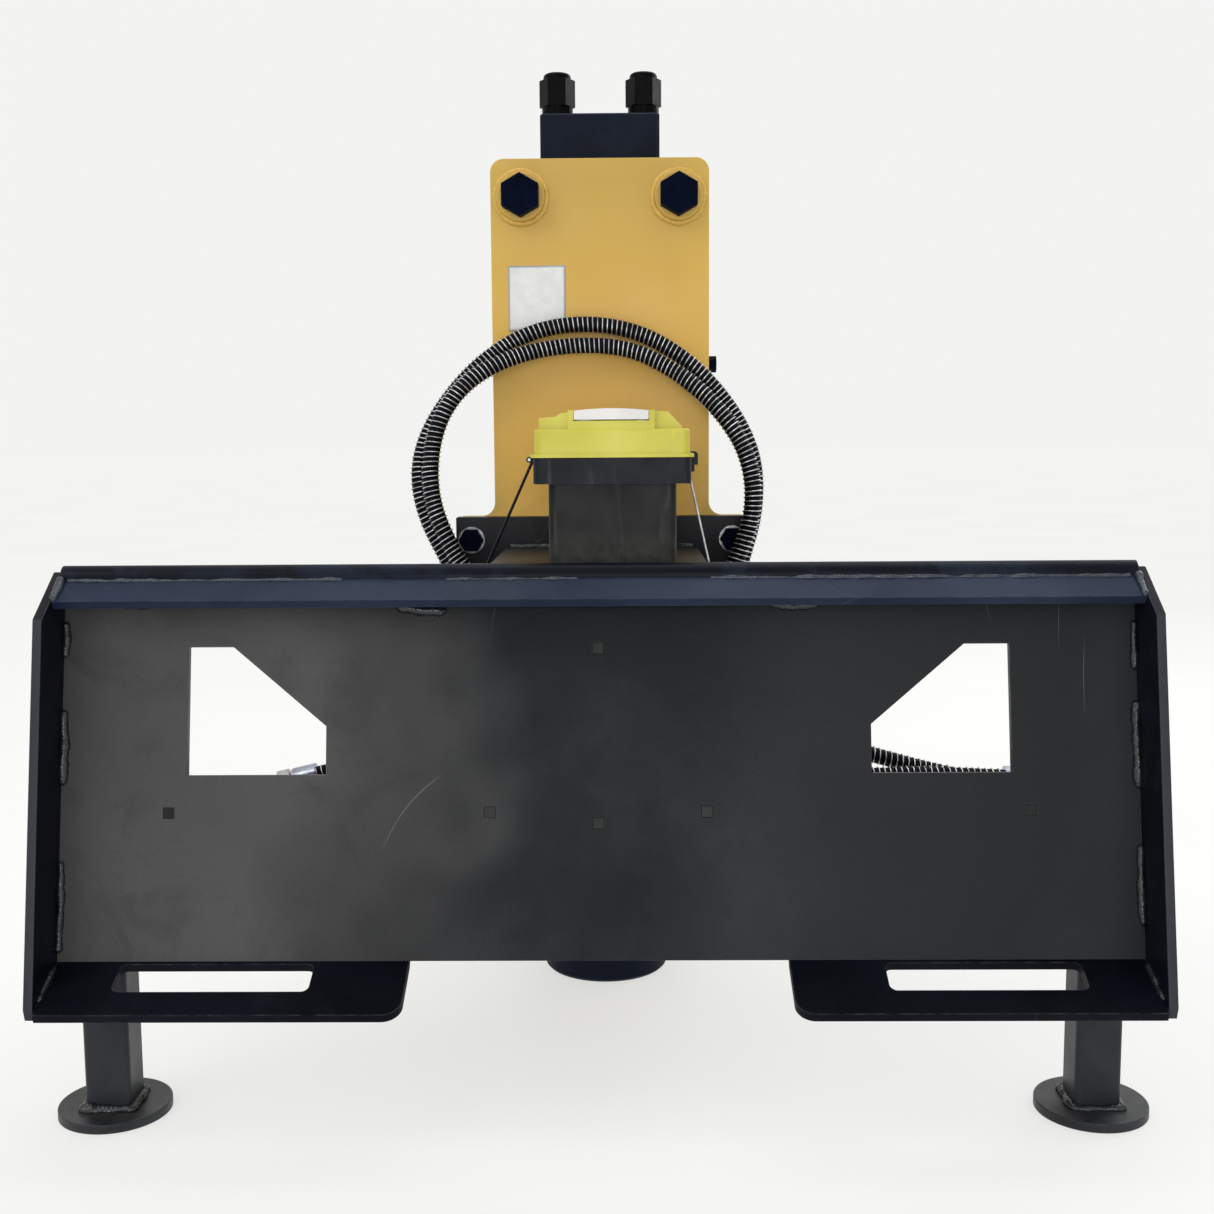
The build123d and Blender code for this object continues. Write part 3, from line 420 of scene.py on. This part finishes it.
M = {}
M["plate"] = enamel("charcoal_enamel", lin(10, 11, 15), lin(20, 22, 26), patch=2.4, rough=(0.26, 0.42), spec=0.09, edge_wear_and_painted_light_amount=0.35, painted_light_tone=plate_painted_reflection_tone)
M["bar"] = enamel("hook_bar_enamel", lin(20, 28, 46), lin(34, 44, 64), patch=5.0, rough=(0.30, 0.46), spec=0.10, edge_wear_and_painted_light=lin(110, 116, 128), edge_wear_and_painted_light_amount=0.3, scratch=0.3, painted_light_tone=bar_painted_light_tone)
M["lip"] = enamel("lip_enamel", lin(1, 2, 7), lin(10, 14, 24), patch=4.0, rough=(0.40, 0.6), spec=0.06, edge_wear_and_painted_light=lin(96, 100, 108), edge_wear_and_painted_light_amount=0.6, scratch=0.2)
M["end"] = enamel("end_plate_enamel", lin(4, 6, 14), lin(16, 20, 32), patch=5.0, rough=(0.34, 0.52), spec=0.16, edge_wear_and_painted_light=lin(96, 102, 116), edge_wear_and_painted_light_amount=0.5, scratch=0.2, painted_light_tone=end_painted_light_tone)
M["leg"] = enamel("leg_enamel", lin(16, 19, 24), lin(34, 38, 44), patch=7.0, rough=(0.34, 0.5), spec=0.30, edge_wear_and_painted_light=lin(110, 112, 118), edge_wear_and_painted_light_amount=0.5, scratch=0.2)
M["disc"] = enamel("foot_enamel", lin(18, 20, 26), lin(40, 43, 48), patch=9.0, rough=(0.34, 0.54), spec=0.32, edge_wear_and_painted_light=lin(120, 122, 128), edge_wear_and_painted_light_amount=0.55, dust=0.12, scratch=0.2)
M["square"] = enamel("square_plug_enamel", lin(16, 17, 19), lin(40, 42, 43), patch=9.0, rough=(0.30, 0.5), spec=0.15, edge_wear_and_painted_light=lin(2, 2, 3), edge_wear_and_painted_light_amount=1.0, scratch=0.0)
M["shelf"] = enamel("shelf_enamel", lin(18, 20, 25), lin(46, 48, 50), patch=8.0, rough=(0.34, 0.5), spec=0.25, edge_wear_and_painted_light=lin(120, 122, 124), dust=0.10, dust_col=(0.10, 0.10, 0.10))
M["bracket"] = enamel("bracket_enamel", lin(6, 8, 14), lin(18, 22, 29), patch=6.0, rough=(0.38, 0.55), spec=0.2, edge_wear_and_painted_light=lin(90, 94, 100), scratch=0.2)
M["body"] = enamel("body_enamel", lin(5, 10, 25), lin(16, 24, 40), patch=6.0, rough=(0.42, 0.58), spec=0.08, edge_wear_and_painted_light=lin(70, 76, 90), edge_wear_and_painted_light_amount=0.3, peel=0.45, scratch=0.1)
M["yellow"] = yellow_enamel()
M["bead_dark"] = bead_material("weld_dark", lin(8, 10, 14), lin(34, 37, 42), 0.55)
M["bead_navy"] = bead_material("weld_navy", lin(8, 13, 27), lin(42, 50, 68), 0.6)
M["bead_yellow"] = bead_material("weld_yellow", lin(186, 146, 66), lin(206, 172, 84), 0.35)
M["bolt"] = steel("black_oxide", lin(2, 6, 20), lin(5, 12, 34), (0.40, 0.6), 0.0, 260.0, 0.02)
M["cap"] = steel("port_cap_black", lin(1, 1, 2), lin(4, 5, 9), (0.20, 0.38), 0.0, 260.0, 0.05)
M["zinc"] = steel("zinc_plate", lin(150, 150, 148), lin(205, 203, 196), (0.24, 0.42), 0.95, 300.0, 0.5, lin(120, 116, 108), 0.6)
M["washer"] = steel("washer_plate", lin(84, 86, 90), lin(170, 172, 174), (0.25, 0.42), 0.8, 300.0, 0.5, lin(30, 32, 36), 0.7)
M["ferrule"] = steel("ferrule_zinc", lin(120, 128, 146), lin(196, 200, 212), (0.22, 0.40), 0.95, 300.0, 0.5, lin(84, 88, 100), 0.6)
M["ground"] = steel("ground_steel", lin(92, 92, 94), lin(150, 150, 152), (0.14, 0.28), 1.0, 500.0, 0.5, None, 0.0, (1, 1, 8))
M["bronze"] = steel("bush_bronze", lin(150, 116, 62), lin(190, 152, 92), (0.22, 0.38), 1.0, 300.0, 0.5)
M["brass"] = steel("fitting_brass", lin(176, 140, 74), lin(214, 180, 110), (0.20, 0.34), 1.0, 300.0, 0.5)
# painted light: a lit grey copy for the right hold-down tie, which is the same kind of tie as the black left one
M["wire"] = steel("tie_painted_lit_grey", lin(150, 150, 150), lin(226, 226, 226), (0.25, 0.4), 0.6, 400.0, 0.5)
M["seal"] = plastic("seal_rubber", lin(14, 14, 15), lin(30, 30, 32), (0.5, 0.7), 900.0, 0.3)
M["strap"] = plastic("strap_black", lin(3, 4, 7), lin(12, 14, 20), (0.4, 0.55), 900.0, 0.4, 0.2)
M["box"] = plastic("box_grey", lin(40, 41, 42), lin(54, 54, 53), (0.36, 0.50), 1300.0, 0.30, 0.38, scuff=0.25)
M["lid"] = plastic("lid_yellow", lin(178, 171, 50), lin(196, 189, 70), (0.34, 0.46), 1300.0, 0.25, 0.40, dust=0.15, scuff=0.2, sss=0.04)
M["cover"] = plastic("cover_white", lin(204, 202, 200), lin(216, 214, 211), (0.30, 0.42), 1500.0, 0.20, 0.42, dust=0.25, scuff=0.3, sss=0.06)
M["plug_red"] = plastic("plug_red", lin(120, 22, 18), lin(170, 40, 30), (0.4, 0.55), 900.0, 0.2)
M["rubber"] = rubber_cover()
M["guard"] = wire_guard()
M["sticker"] = sticker()


def band_box():
    """Moulded base: grey body with a darker, bluer rim band."""
    m = Mat("box_body")
    z = m.axis(2)
    body = m.ramp(m.noise(14.0, 4.0, 0.55), [(0.3, lin(24, 25, 26)), (0.7, lin(33, 33, 33))])
    rim = m.ramp(m.noise(18.0, 4.0, 0.55), [(0.3, lin(17, 20, 27)), (0.7, lin(26, 29, 35))])
    col = m.mix(m.math("GREATER_THAN", z, 0.6888), body, rim)
    streak = m.noise(5.0, 3.0, 0.55, 0.3, vec=m.vec(scale=(14, 14, 2.0)))
    col = m.mix(m.math("MULTIPLY", m.grey(streak, 0.60, 0.70), 0.22), col, lin(90, 90, 88))
    foot = m.math("MULTIPLY", m.grey(z, 0.640, 0.600), m.grey(m.noise(40.0, 6.0, 0.7), 0.35, 0.7))
    col = m.mix(m.math("MULTIPLY", foot, 0.45), col, lin(96, 94, 88))
    # worn edges and painted edge highlight: edges painted lighter, broken up by noise
    e = m.math("MULTIPLY", m.edge(0.0012), m.grey(m.noise(120.0, 4.0), 0.35, 0.65))
    col = m.mix(m.math("MULTIPLY", e, 0.35), col, lin(104, 108, 116))
    rg = m.grey(m.noise(25.0, 4.0), 0.3, 0.7, 0.36, 0.52)
    m.bump(m.noise(1300.0, 2.0, 0.5), 0.3, 0.00012)
    return m.done(col, rg, 0.0, 0.13)


M["box_base"] = band_box()

NODE_MAT = {
    "attach_plate": "plate", "hook_bar": "bar", "lip_left": "lip", "lip_right": "lip", "end_plate_left": "end", "end_plate_right": "end",
    "square_plugs": "square", "leg_left": "leg", "leg_right": "leg", "foot_disc_left": "disc", "foot_disc_right": "disc",
    "toolbox_shelf": "shelf", "gusset_left": "bracket", "gusset_right": "bracket", "lower_tie_plate": "bracket", "bracket_plate": "bracket",
    "side_plate_front": "yellow", "side_plate_rear": "yellow", "bolt_bosses": "yellow",
    "front_head": "body", "cylinder": "body", "back_head": "body", "valve_housing": "body", "valve_cover": "body", "spacer_tubes": "bracket",
    "bracket_washers": "washer", "port_adapters": "cap", "hose_ferrules": "ferrule", "hose_nuts": "zinc", "gas_valve": "bolt",
    "bracket_bolts": "bolt", "bracket_nuts": "bolt", "side_bolts": "bolt", "side_bolt_nuts": "bolt", "through_bolts": "bolt",
    "valve_cover_bolts": "bolt", "adjuster_plug": "bolt", "port_cap_left": "cap", "port_cap_right": "cap", "toolbox_latch": "strap",
    # hold_down_tie_right takes the lit grey tie paint: painted light on a tie like the black left one
    "hold_down_tie_left": "strap", "hold_down_tie_right": "wire", "piston": "ground", "valve_spool": "ground", "retaining_pins": "ground",
    "toolbox_hinge_pins": "ground", "lower_bush": "bronze", "upper_bush": "bronze", "grease_nipple": "brass", "dust_seal": "seal",
    "piston_seals": "seal", "retaining_pin_plugs": "seal", "toolbox_base": "box_base", "toolbox_lid": "lid", "toolbox_handle": "lid",
    "organiser_cover_near": "cover", "organiser_cover_far": "cover", "hose_end_caps": "plug_red", "hose_a": "rubber", "hose_b": "rubber",
}
BEVEL = {  # metres: edge radius worn on each node
    "attach_plate": 0.0008, "hook_bar": 0.0008, "lip_left": 0.0012, "lip_right": 0.0012, "end_plate_left": 0.0014, "end_plate_right": 0.0014,
    "side_plate_front": 0.0012, "side_plate_rear": 0.0012, "bracket_plate": 0.0012, "toolbox_shelf": 0.0010, "gusset_left": 0.0010,
    "gusset_right": 0.0010, "back_head": 0.0010, "front_head": 0.0012, "cylinder": 0.0010, "valve_housing": 0.0010, "valve_cover": 0.0008,
    "port_cap_left": 0.0009, "port_cap_right": 0.0009, "side_bolts": 0.0008, "side_bolt_nuts": 0.0008, "bracket_bolts": 0.0005,
    "bracket_nuts": 0.0005, "adjuster_plug": 0.0005, "gas_valve": 0.0005, "toolbox_base": 0.0008, "toolbox_lid": 0.0009,
    "organiser_cover_near": 0.0006, "organiser_cover_far": 0.0006, "toolbox_handle": 0.0008, "toolbox_latch": 0.0007, "hose_nuts": 0.0005,
    "hose_ferrules": 0.0007, "hose_end_caps": 0.0008, "bracket_washers": 0.0004, "port_adapters": 0.0005,
}
for name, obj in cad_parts.items():
    mat = M[NODE_MAT.get(name, "plate")]
    if not obj.material_slots:
        obj.data.materials.append(mat)
    for s in obj.material_slots:
        s.material = mat
    if name in BEVEL:
        w = obj.modifiers.new("join", "WELD")
        w.merge_threshold = 0.00002
        b = obj.modifiers.new("edge", "BEVEL")
        b.width = BEVEL[name]
        b.segments = 2
        b.limit_method = "ANGLE"
        b.angle_limit = math.radians(38)
        b.use_clamp_overlap = True
        b.harden_normals = False
        n = obj.modifiers.new("normals", "WEIGHTED_NORMAL")
        n.keep_sharp = False


# ------------------------------------------------------------------ mesh helpers
def add_mesh(name, verts, faces, mat, body=ROOT, smooth=True):
    me = bpy.data.meshes.new(name)
    me.from_pydata([tuple(v) for v in verts], [], faces)
    me.update()
    ob = bpy.data.objects.new(name, me)
    scene.collection.objects.link(ob)
    me.materials.append(M[mat])
    if smooth:
        for p in me.polygons:
            p.use_smooth = True
    bm = bmesh.new()
    bm.from_mesh(me)
    bmesh.ops.recalc_face_normals(bm, faces=bm.faces)
    bm.to_mesh(me)
    bm.free()
    if body:
        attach(ob, body)
    return ob


def frames(pts, closed=False):
    """Parallel-transport frames along a list of points."""
    n = len(pts)
    tans = []
    for i in range(n):
        a = pts[(i - 1) % n] if closed else pts[max(0, i - 1)]
        b = pts[(i + 1) % n] if closed else pts[min(n - 1, i + 1)]
        t = b - a
        tans.append(t.normalized() if t.length > 1e-12 else Vector((0, 0, 1)))
    ref = Vector((0, 0, 1)) if abs(tans[0].z) < 0.9 else Vector((0, 1, 0))
    u = (ref - tans[0] * ref.dot(tans[0])).normalized()
    out = []
    for t in tans:
        u = (u - t * u.dot(t))
        u = u.normalized() if u.length > 1e-9 else t.orthogonal().normalized()
        out.append((t, u, t.cross(u)))
    return out


def tube(name, pts, radius_of, sides, mat, closed=False, body=ROOT):
    """A tube through pts; radius_of(i, angle) gives the radius at each ring vertex."""
    fr = frames(pts, closed)
    verts, faces = [], []
    for i, (p, (t, u, v)) in enumerate(zip(pts, fr)):
        for j in range(sides):
            a = 2 * math.pi * j / sides
            r = radius_of(i, a)
            verts.append(p + (u * math.cos(a) + v * math.sin(a)) * r)
    n = len(pts)
    for i in range(n if closed else n - 1):
        k = (i + 1) % n
        for j in range(sides):
            l = (j + 1) % sides
            faces.append((i * sides + j, i * sides + l, k * sides + l, k * sides + j))
    if not closed:
        faces.append(tuple(reversed(range(sides))))
        faces.append(tuple((n - 1) * sides + j for j in range(sides)))
    return add_mesh(name, verts, faces, mat, body)


def bead(name, line, r, seed, mat, step=0.0016, ripple=0.18, closed=False, lump=0.35, sides=10):
    """A weld bead laid along a polyline: a ripple every few millimetres, wandering in width and height."""
    pts = []
    segs = list(zip(line, line[1:] + ([line[0]] if closed else [])))
    if not closed:
        segs = list(zip(line[:-1], line[1:]))
    for a, b in segs:
        k = max(1, int((b - a).length / step))
        for i in range(k):
            pts.append(a.lerp(b, i / k))
    if not closed:
        pts.append(line[-1])
    n = len(pts)
    moved = []
    for i, p in enumerate(pts):
        q = p * 55.0 + Vector((seed, seed * 1.7, -seed))
        w = mnoise.noise_vector(q) * (r * 0.22)
        moved.append(p + w)

    def rad(i, a):
        q = pts[i] * 70.0 + Vector((seed * 3.1, 0, seed))
        base = 1.0 + lump * mnoise.noise(q) + 0.18 * mnoise.noise(pts[i] * 260.0 + Vector((math.cos(a), math.sin(a), seed)))
        rip = 1.0 + ripple * abs(math.sin(i * step / 0.0042 * math.pi + 0.6 * math.cos(a)))
        end = 1.0
        if not closed:
            end = min(1.0, 0.35 + min(i, n - 1 - i) * step / (r * 1.2))
        return r * base * rip * end

    return tube(name, moved, rad, sides, mat, closed)


# ------------------------------------------------------------------ hoses
HOSE_D = 0.023
HOSE_A = [(-363.0, 356.0, 315.0), (-241.7, 358.0, 344.2), (-182.8, 359.5, 395.4), (-160.0, 361.0, 470.0), (-180.0, 364.0, 563.0),
          (-228.0, 369.0, 652.0), (-228.0, 379.0, 733.0), (-166.0, 392.0, 823.0), (-78.3, 402.0, 879.5), (34.3, 402.0, 879.5),
          (124.0, 396.0, 826.0), (188.0, 384.0, 738.0), (197.0, 374.0, 655.0), (172.0, 366.0, 570.0), (153.0, 364.0, 510.0),
          (157.0, 362.0, 450.0), (182.0, 361.0, 400.0), (228.0, 360.0, 364.0), (325.0, 361.0, 341.0), (418.0, 362.0, 314.0), (502.0, 361.0, 297.0)]
HOSE_B = [(-262.0, 330.0, 331.0), (-206.0, 332.0, 361.0), (-166.0, 334.0, 412.0), (-148.0, 336.0, 478.0), (-150.0, 338.0, 545.0),
          (-187.0, 340.0, 604.0), (-212.0, 344.0, 668.0), (-208.0, 352.0, 742.0), (-180.0, 361.0, 796.0), (-128.0, 375.5, 833.0),
          (-55.0, 389.0, 853.0), (30.0, 389.0, 852.0), (92.0, 379.0, 822.0), (148.0, 365.0, 773.0), (184.0, 353.0, 715.0),
          (190.0, 346.0, 650.0), (170.0, 342.0, 590.0), (141.0, 339.5, 530.0), (129.0, 338.0, 478.0), (128.0, 336.5, 424.0),
          (148.0, 335.0, 375.0), (184.0, 334.0, 338.0), (233.0, 334.0, 318.0), (322.0, 335.0, 314.0), (415.0, 336.0, 317.0), (502.0, 335.0, 312.0)]


def hose(name, route, bevel):
    cu = bpy.data.curves.new(name, "CURVE")
    cu.dimensions = "3D"
    cu.resolution_u = 16
    cu.bevel_depth = bevel
    cu.bevel_resolution = 4
    cu.use_fill_caps = True
    sp = cu.splines.new("NURBS")
    sp.points.add(len(route) - 1)
    for p, c in zip(sp.points, route):
        w = P(*c)
        p.co = (w.x, w.y, w.z, 1.0)
    sp.order_u = 3
    sp.use_endpoint_u = True
    cu.materials.append(M["rubber"])
    ob = bpy.data.objects.new(name, cu)
    scene.collection.objects.link(ob)
    return ob


def centre(route, name):
    """The points of the hose's own smooth line."""
    ob = hose(name, route, 0.0)
    bpy.context.view_layer.update()
    dg = bpy.context.evaluated_depsgraph_get()
    me = bpy.data.meshes.new_from_object(ob.evaluated_get(dg))
    pts = [v.co.copy() for v in me.vertices]
    bpy.data.meshes.remove(me)
    bpy.data.objects.remove(ob)
    return pts


def resample(pts, step):
    """Evenly spaced stations along the smooth line."""
    out = [pts[0].copy()]
    carry = 0.0
    for a, b in zip(pts, pts[1:]):
        d = (b - a).length
        if d < 1e-9:
            continue
        pos = step - carry
        while pos <= d:
            out.append(a.lerp(b, pos / d))
            pos += step
        carry = d - (pos - step)
    return out


def guard(name, route, pitch_of, wire, seed):
    line = centre(route, name + "_line")
    st = 0.0005
    fine = resample(line, st)
    fr = frames(fine)
    R = HOSE_D / 2 - wire
    pts = []
    ang = 0.0
    for i, (p, (t, u, v)) in enumerate(zip(fine, fr)):
        s = i / (len(fine) - 1)
        pitch = pitch_of(s) * (1.0 + 0.10 * mnoise.noise(Vector((i * st * 30.0, seed, 0))))
        ang += 2 * math.pi * st / pitch
        wob = 1.0 + 0.02 * mnoise.noise(Vector((i * st * 90.0, 0, seed)))
        pts.append(p + (u * math.cos(ang) + v * math.sin(ang)) * R * wob)
    # keep about 14 points for each turn
    keep, last, acc = [pts[0]], pts[0], 0.0
    want = 2 * math.pi * R / 14
    for q in pts[1:]:
        acc += (q - last).length
        last = q
        if acc >= want:
            keep.append(q)
            acc = 0.0
    return tube(name, keep, lambda i, a: wire, 6, "guard")


WIRE = 0.00078
for nm, route, seed in (("hose_a", HOSE_A, 3.3), ("hose_b", HOSE_B, 9.1)):
    body = hose(nm + "_cover", route, HOSE_D / 2 - 0.0017)
    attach(body, ROOT)
    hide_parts(nm)
    g = guard(nm + "_guard", route, lambda s: 0.0061 + 0.0014 * max(0.0, abs(s - 0.45) * 2 - 0.55) / 0.45, WIRE, seed)

# ------------------------------------------------------------------ welds
# along the hook bar, where the bar meets the rolled top edge
bead("weld_hook_top_left", [T(-560, -14.6, 398.3), T(-268, -14.6, 398.3)], 0.0020, 1.0, "bead_navy", lump=0.8)
bead("weld_hook_top_mid", [T(-160, -14.6, 398.3), T(-20, -14.6, 398.3)], 0.0018, 1.0, "bead_navy", lump=0.9)
bead("weld_hook_top_right", [T(118, -14.6, 398.3), T(560, -14.6, 398.3)], 0.0022, 1.0, "bead_navy", lump=0.8)
# tacks under the bar
bead("weld_tack_left", [T(-214, -1.5, 370.5), T(-186, -2.5, 366.5), T(-160, -1.5, 366.0)], 0.0060, 2.0, "bead_dark", lump=0.4)
bead("weld_tack_right", [T(181, -1.0, 372.5), T(206, -2.0, 370.0), T(234, -1.0, 370.5)], 0.0048, 3.0, "bead_dark", lump=0.4)
bead("weld_tack_far_left", [T(-505, -1.0, 374), T(-470, -1.5, 374)], 0.0040, 3.4, "bead_dark", lump=0.4)
# the bar's two ends
for s, nm in ((-1, "left"), (1, "right")):
    bead("weld_bar_end_" + nm, [T(s * 565.5, -14.0, 402.5), T(s * 565.5, -26.0, 388.0), T(s * 565.5, -38.5, 374.5)], 0.0040, 4.0 + s, "bead_navy", lump=0.5)
    # end plate to attach plate: a fillet in three runs
    x = s * 564.5
    runs = ((352.0, 300.0), (268.0, 176.0), (118.0, 34.0)) if s > 0 else ((356.0, 318.0), (262.0, 184.0), (104.0, 10.0))
    for i, (a, b) in enumerate(runs):
        bead("weld_end_%s_%d" % (nm, i), [T(x, -1.5, a), T(x - s * 1.0, -2.2, (a + b) / 2), T(x, -1.5, b)], 0.0046 if i == 1 else 0.0036, 6.0 + i + s, "bead_dark", lump=0.45)
    bead("weld_end_rear_" + nm, [T(s * 566.0, 11.0, 30), T(s * 566.0, 11.0, 360)], 0.0030, 13.0 + s, "bead_dark")
    # lip to end plate, on the outer corner
    c0, c1 = math.cos(math.radians(33.5)), math.sin(math.radians(33.5))
    bead("weld_lip_" + nm, [T(s * 566.0, -8.0 * c0, -8.0 * c1 + 1.0), T(s * 566.0, -60.0 * c0, -60.0 * c1 + 1.0)], 0.0034, 15.0 + s, "bead_dark", lump=0.5)
    # leg to foot disc, all round the square tube
    lx = s * 540.0
    q = [P(lx - 26, 52, 11.0), P(lx + 26, 52, 11.0), P(lx + 26, 104, 11.0), P(lx - 26, 104, 11.0)]
    bead("weld_foot_" + nm, q, 0.0052, 17.0 + s, "bead_dark", closed=True, lump=0.65, ripple=0.22)
    # leg to plate
    for k in (-1, 1):
        pts = []
        for z in (215.0, 300.0, 400.0, 500.0):
            v = (z - 198.0 + 10.0 * ST) / CT
            pts.append(P(lx + k * 25.5, v * ST + 10.0 * CT + 1.0, z))
        bead("weld_leg_%s_%s" % (nm, "in" if k * s < 0 else "out"), pts, 0.0034, 21.0 + s + k, "bead_dark", step=0.002)


def back_y(z):
    v = (z - 198.0 + 10.0 * ST) / CT
    return v * ST + 10.0 * CT


# round bosses on the yellow plates
for s, nm in ((-1, "left"), (1, "right")):
    for y, side in ((419.3, "front"), (660.7, "rear")):
        ring = [P(s * 99.0 + 32.3 * math.cos(t * math.pi / 36), y, 1038.5 + 32.3 * math.sin(t * math.pi / 36)) for t in range(72)]
        bead("weld_boss_%s_%s" % (nm, side), ring, 0.0036, 30.0 + s + y / 100, "bead_yellow", step=0.0012, ripple=0.10, closed=True, lump=0.30)

# shelf and gussets
bead("weld_shelf_rear", [P(-119, 399.2, 600.8), P(119, 399.2, 600.8)], 0.0036, 41.0, "bead_dark", lump=0.4)
bead("weld_shelf_front", [P(-119, back_y(600.0) + 0.8, 600.6), P(119, back_y(600.0) + 0.8, 600.6)], 0.0034, 42.0, "bead_dark", lump=0.4)
for s, nm in ((-1, "left"), (1, "right")):
    bead("weld_gusset_rear_" + nm, [P(s * 113.8, 399.0, 300), P(s * 113.8, 399.0, 586)], 0.0034, 43.0 + s, "bead_dark", step=0.002)
    bead("weld_gusset_top_" + nm, [P(s * 113.8, back_y(589) + 3, 589.2), P(s * 113.8, 396, 589.2)], 0.0030, 45.0 + s, "bead_dark", step=0.002)
    bead("weld_gusset_front_" + nm, [P(s * 113.8, back_y(250) + 1.2, 250), P(s * 113.8, back_y(580) + 1.2, 580)], 0.0032, 47.0 + s, "bead_dark", step=0.002)

# ------------------------------------------------------------------ plain sticker on the yellow plate
def sticker_sheet():
    x0, x1, z0, z1 = -116.5, -43.9, 872.5, 954.2
    n, k = 14, 14
    verts, faces = [], []
    for j in range(k + 1):
        for i in range(n + 1):
            x = x0 + (x1 - x0) * i / n
            z = z0 + (z1 - z0) * j / k
            lift = 0.10
            corner = min(abs(x - x0), abs(x - x1)) + min(abs(z - z0), abs(z - z1))
            if corner < 6:
                lift += 0.25 * (1 - corner / 6)
            verts.append(P(x, 420.0 - lift - 0.12, z))
    m0 = len(verts)
    for v in list(verts):
        verts.append(v + Vector((0, 0.00010, 0)))
    w = n + 1
    for j in range(k):
        for i in range(n):
            a = j * w + i
            faces.append((a, a + 1, a + 1 + w, a + w))
            faces.append((m0 + a, m0 + a + w, m0 + a + 1 + w, m0 + a + 1))
    rim = [i for i in range(w)] + [j * w + n for j in range(1, k + 1)] + [k * w + i for i in range(n - 1, -1, -1)] + [j * w for j in range(k - 1, 0, -1)]
    for a, b in zip(rim, rim[1:] + rim[:1]):
        faces.append((a, m0 + a, m0 + b, b))
    return add_mesh("plain_label", verts, faces, "sticker")


sticker_sheet()


# ------------------------------------------------------------------ floor and light
def floor():
    me = bpy.data.meshes.new("studio_floor")
    n = 96
    verts = [(0, 0, 0)]
    rings = [1.5, 4.0, 10.0, 24.0, 60.0]
    faces = []
    for r in rings:
        for i in range(n):
            a = 2 * math.pi * i / n
            verts.append((r * math.cos(a), r * math.sin(a), 0.0))
    for i in range(n):
        faces.append((0, 1 + i, 1 + (i + 1) % n))
    for k in range(len(rings) - 1):
        for i in range(n):
            a, b = 1 + k * n + i, 1 + k * n + (i + 1) % n
            faces.append((a, a + n, b + n, b))
    me.from_pydata(verts, [], faces)
    ob = bpy.data.objects.new("studio_floor", me)
    scene.collection.objects.link(ob)
    m = Mat("studio_floor_paint")
    n1 = m.noise(1.2, 3.0)
    col = m.ramp(n1, [(0.3, (0.29, 0.29, 0.285)), (0.7, (0.31, 0.31, 0.305))])
    mt = m.done(col, 0.85, 0.0, 0.1)
    m.b.inputs["Emission Color"].default_value = (1.0, 1.0, 0.982, 1)
    m.b.inputs["Emission Strength"].default_value = 0.60
    me.materials.append(mt)
    ob.location = (0, 0, -0.0004)


floor()
world = bpy.data.worlds.new("studio_world")
scene.world = world
world.use_nodes = True
wn = world.node_tree
wn.nodes.clear()
wo = wn.nodes.new("ShaderNodeOutputWorld")
wb = wn.nodes.new("ShaderNodeBackground")
wb.inputs["Color"].default_value = (1.0, 1.0, 0.982, 1)
wb.inputs["Strength"].default_value = 0.896
wn.links.new(wb.outputs[0], wo.inputs[0])


def area(name, loc, target, size, power, color=(1, 1, 1), size_y=None):
    d = bpy.data.lights.new(name, "AREA")
    d.energy = power
    d.color = color
    d.shape = "RECTANGLE"
    d.size = size
    d.size_y = size_y or size
    o = bpy.data.objects.new(name, d)
    scene.collection.objects.link(o)
    o.location = loc
    o.rotation_euler = (Vector(target) - Vector(loc)).to_track_quat("-Z", "Y").to_euler()
    o.visible_camera = False
    return o


area("key_light", (-2.4, -2.6, 3.4), (0, 0, 0.6), 2.4, 40.0, (1.0, 0.99, 0.97))
area("fill_light", (0.1, -8.0, 1.0), (0, 0, 0.72), 2.2, 112.0, (1.0, 0.995, 0.985))
area("top_light", (0.3, 0.4, 4.2), (0, 0, 0.5), 3.0, 40.0, (0.97, 0.98, 1.0))
area("rim_light", (2.8, 2.2, 2.6), (0, 0, 0.8), 1.8, 30.0, (0.98, 0.99, 1.0))
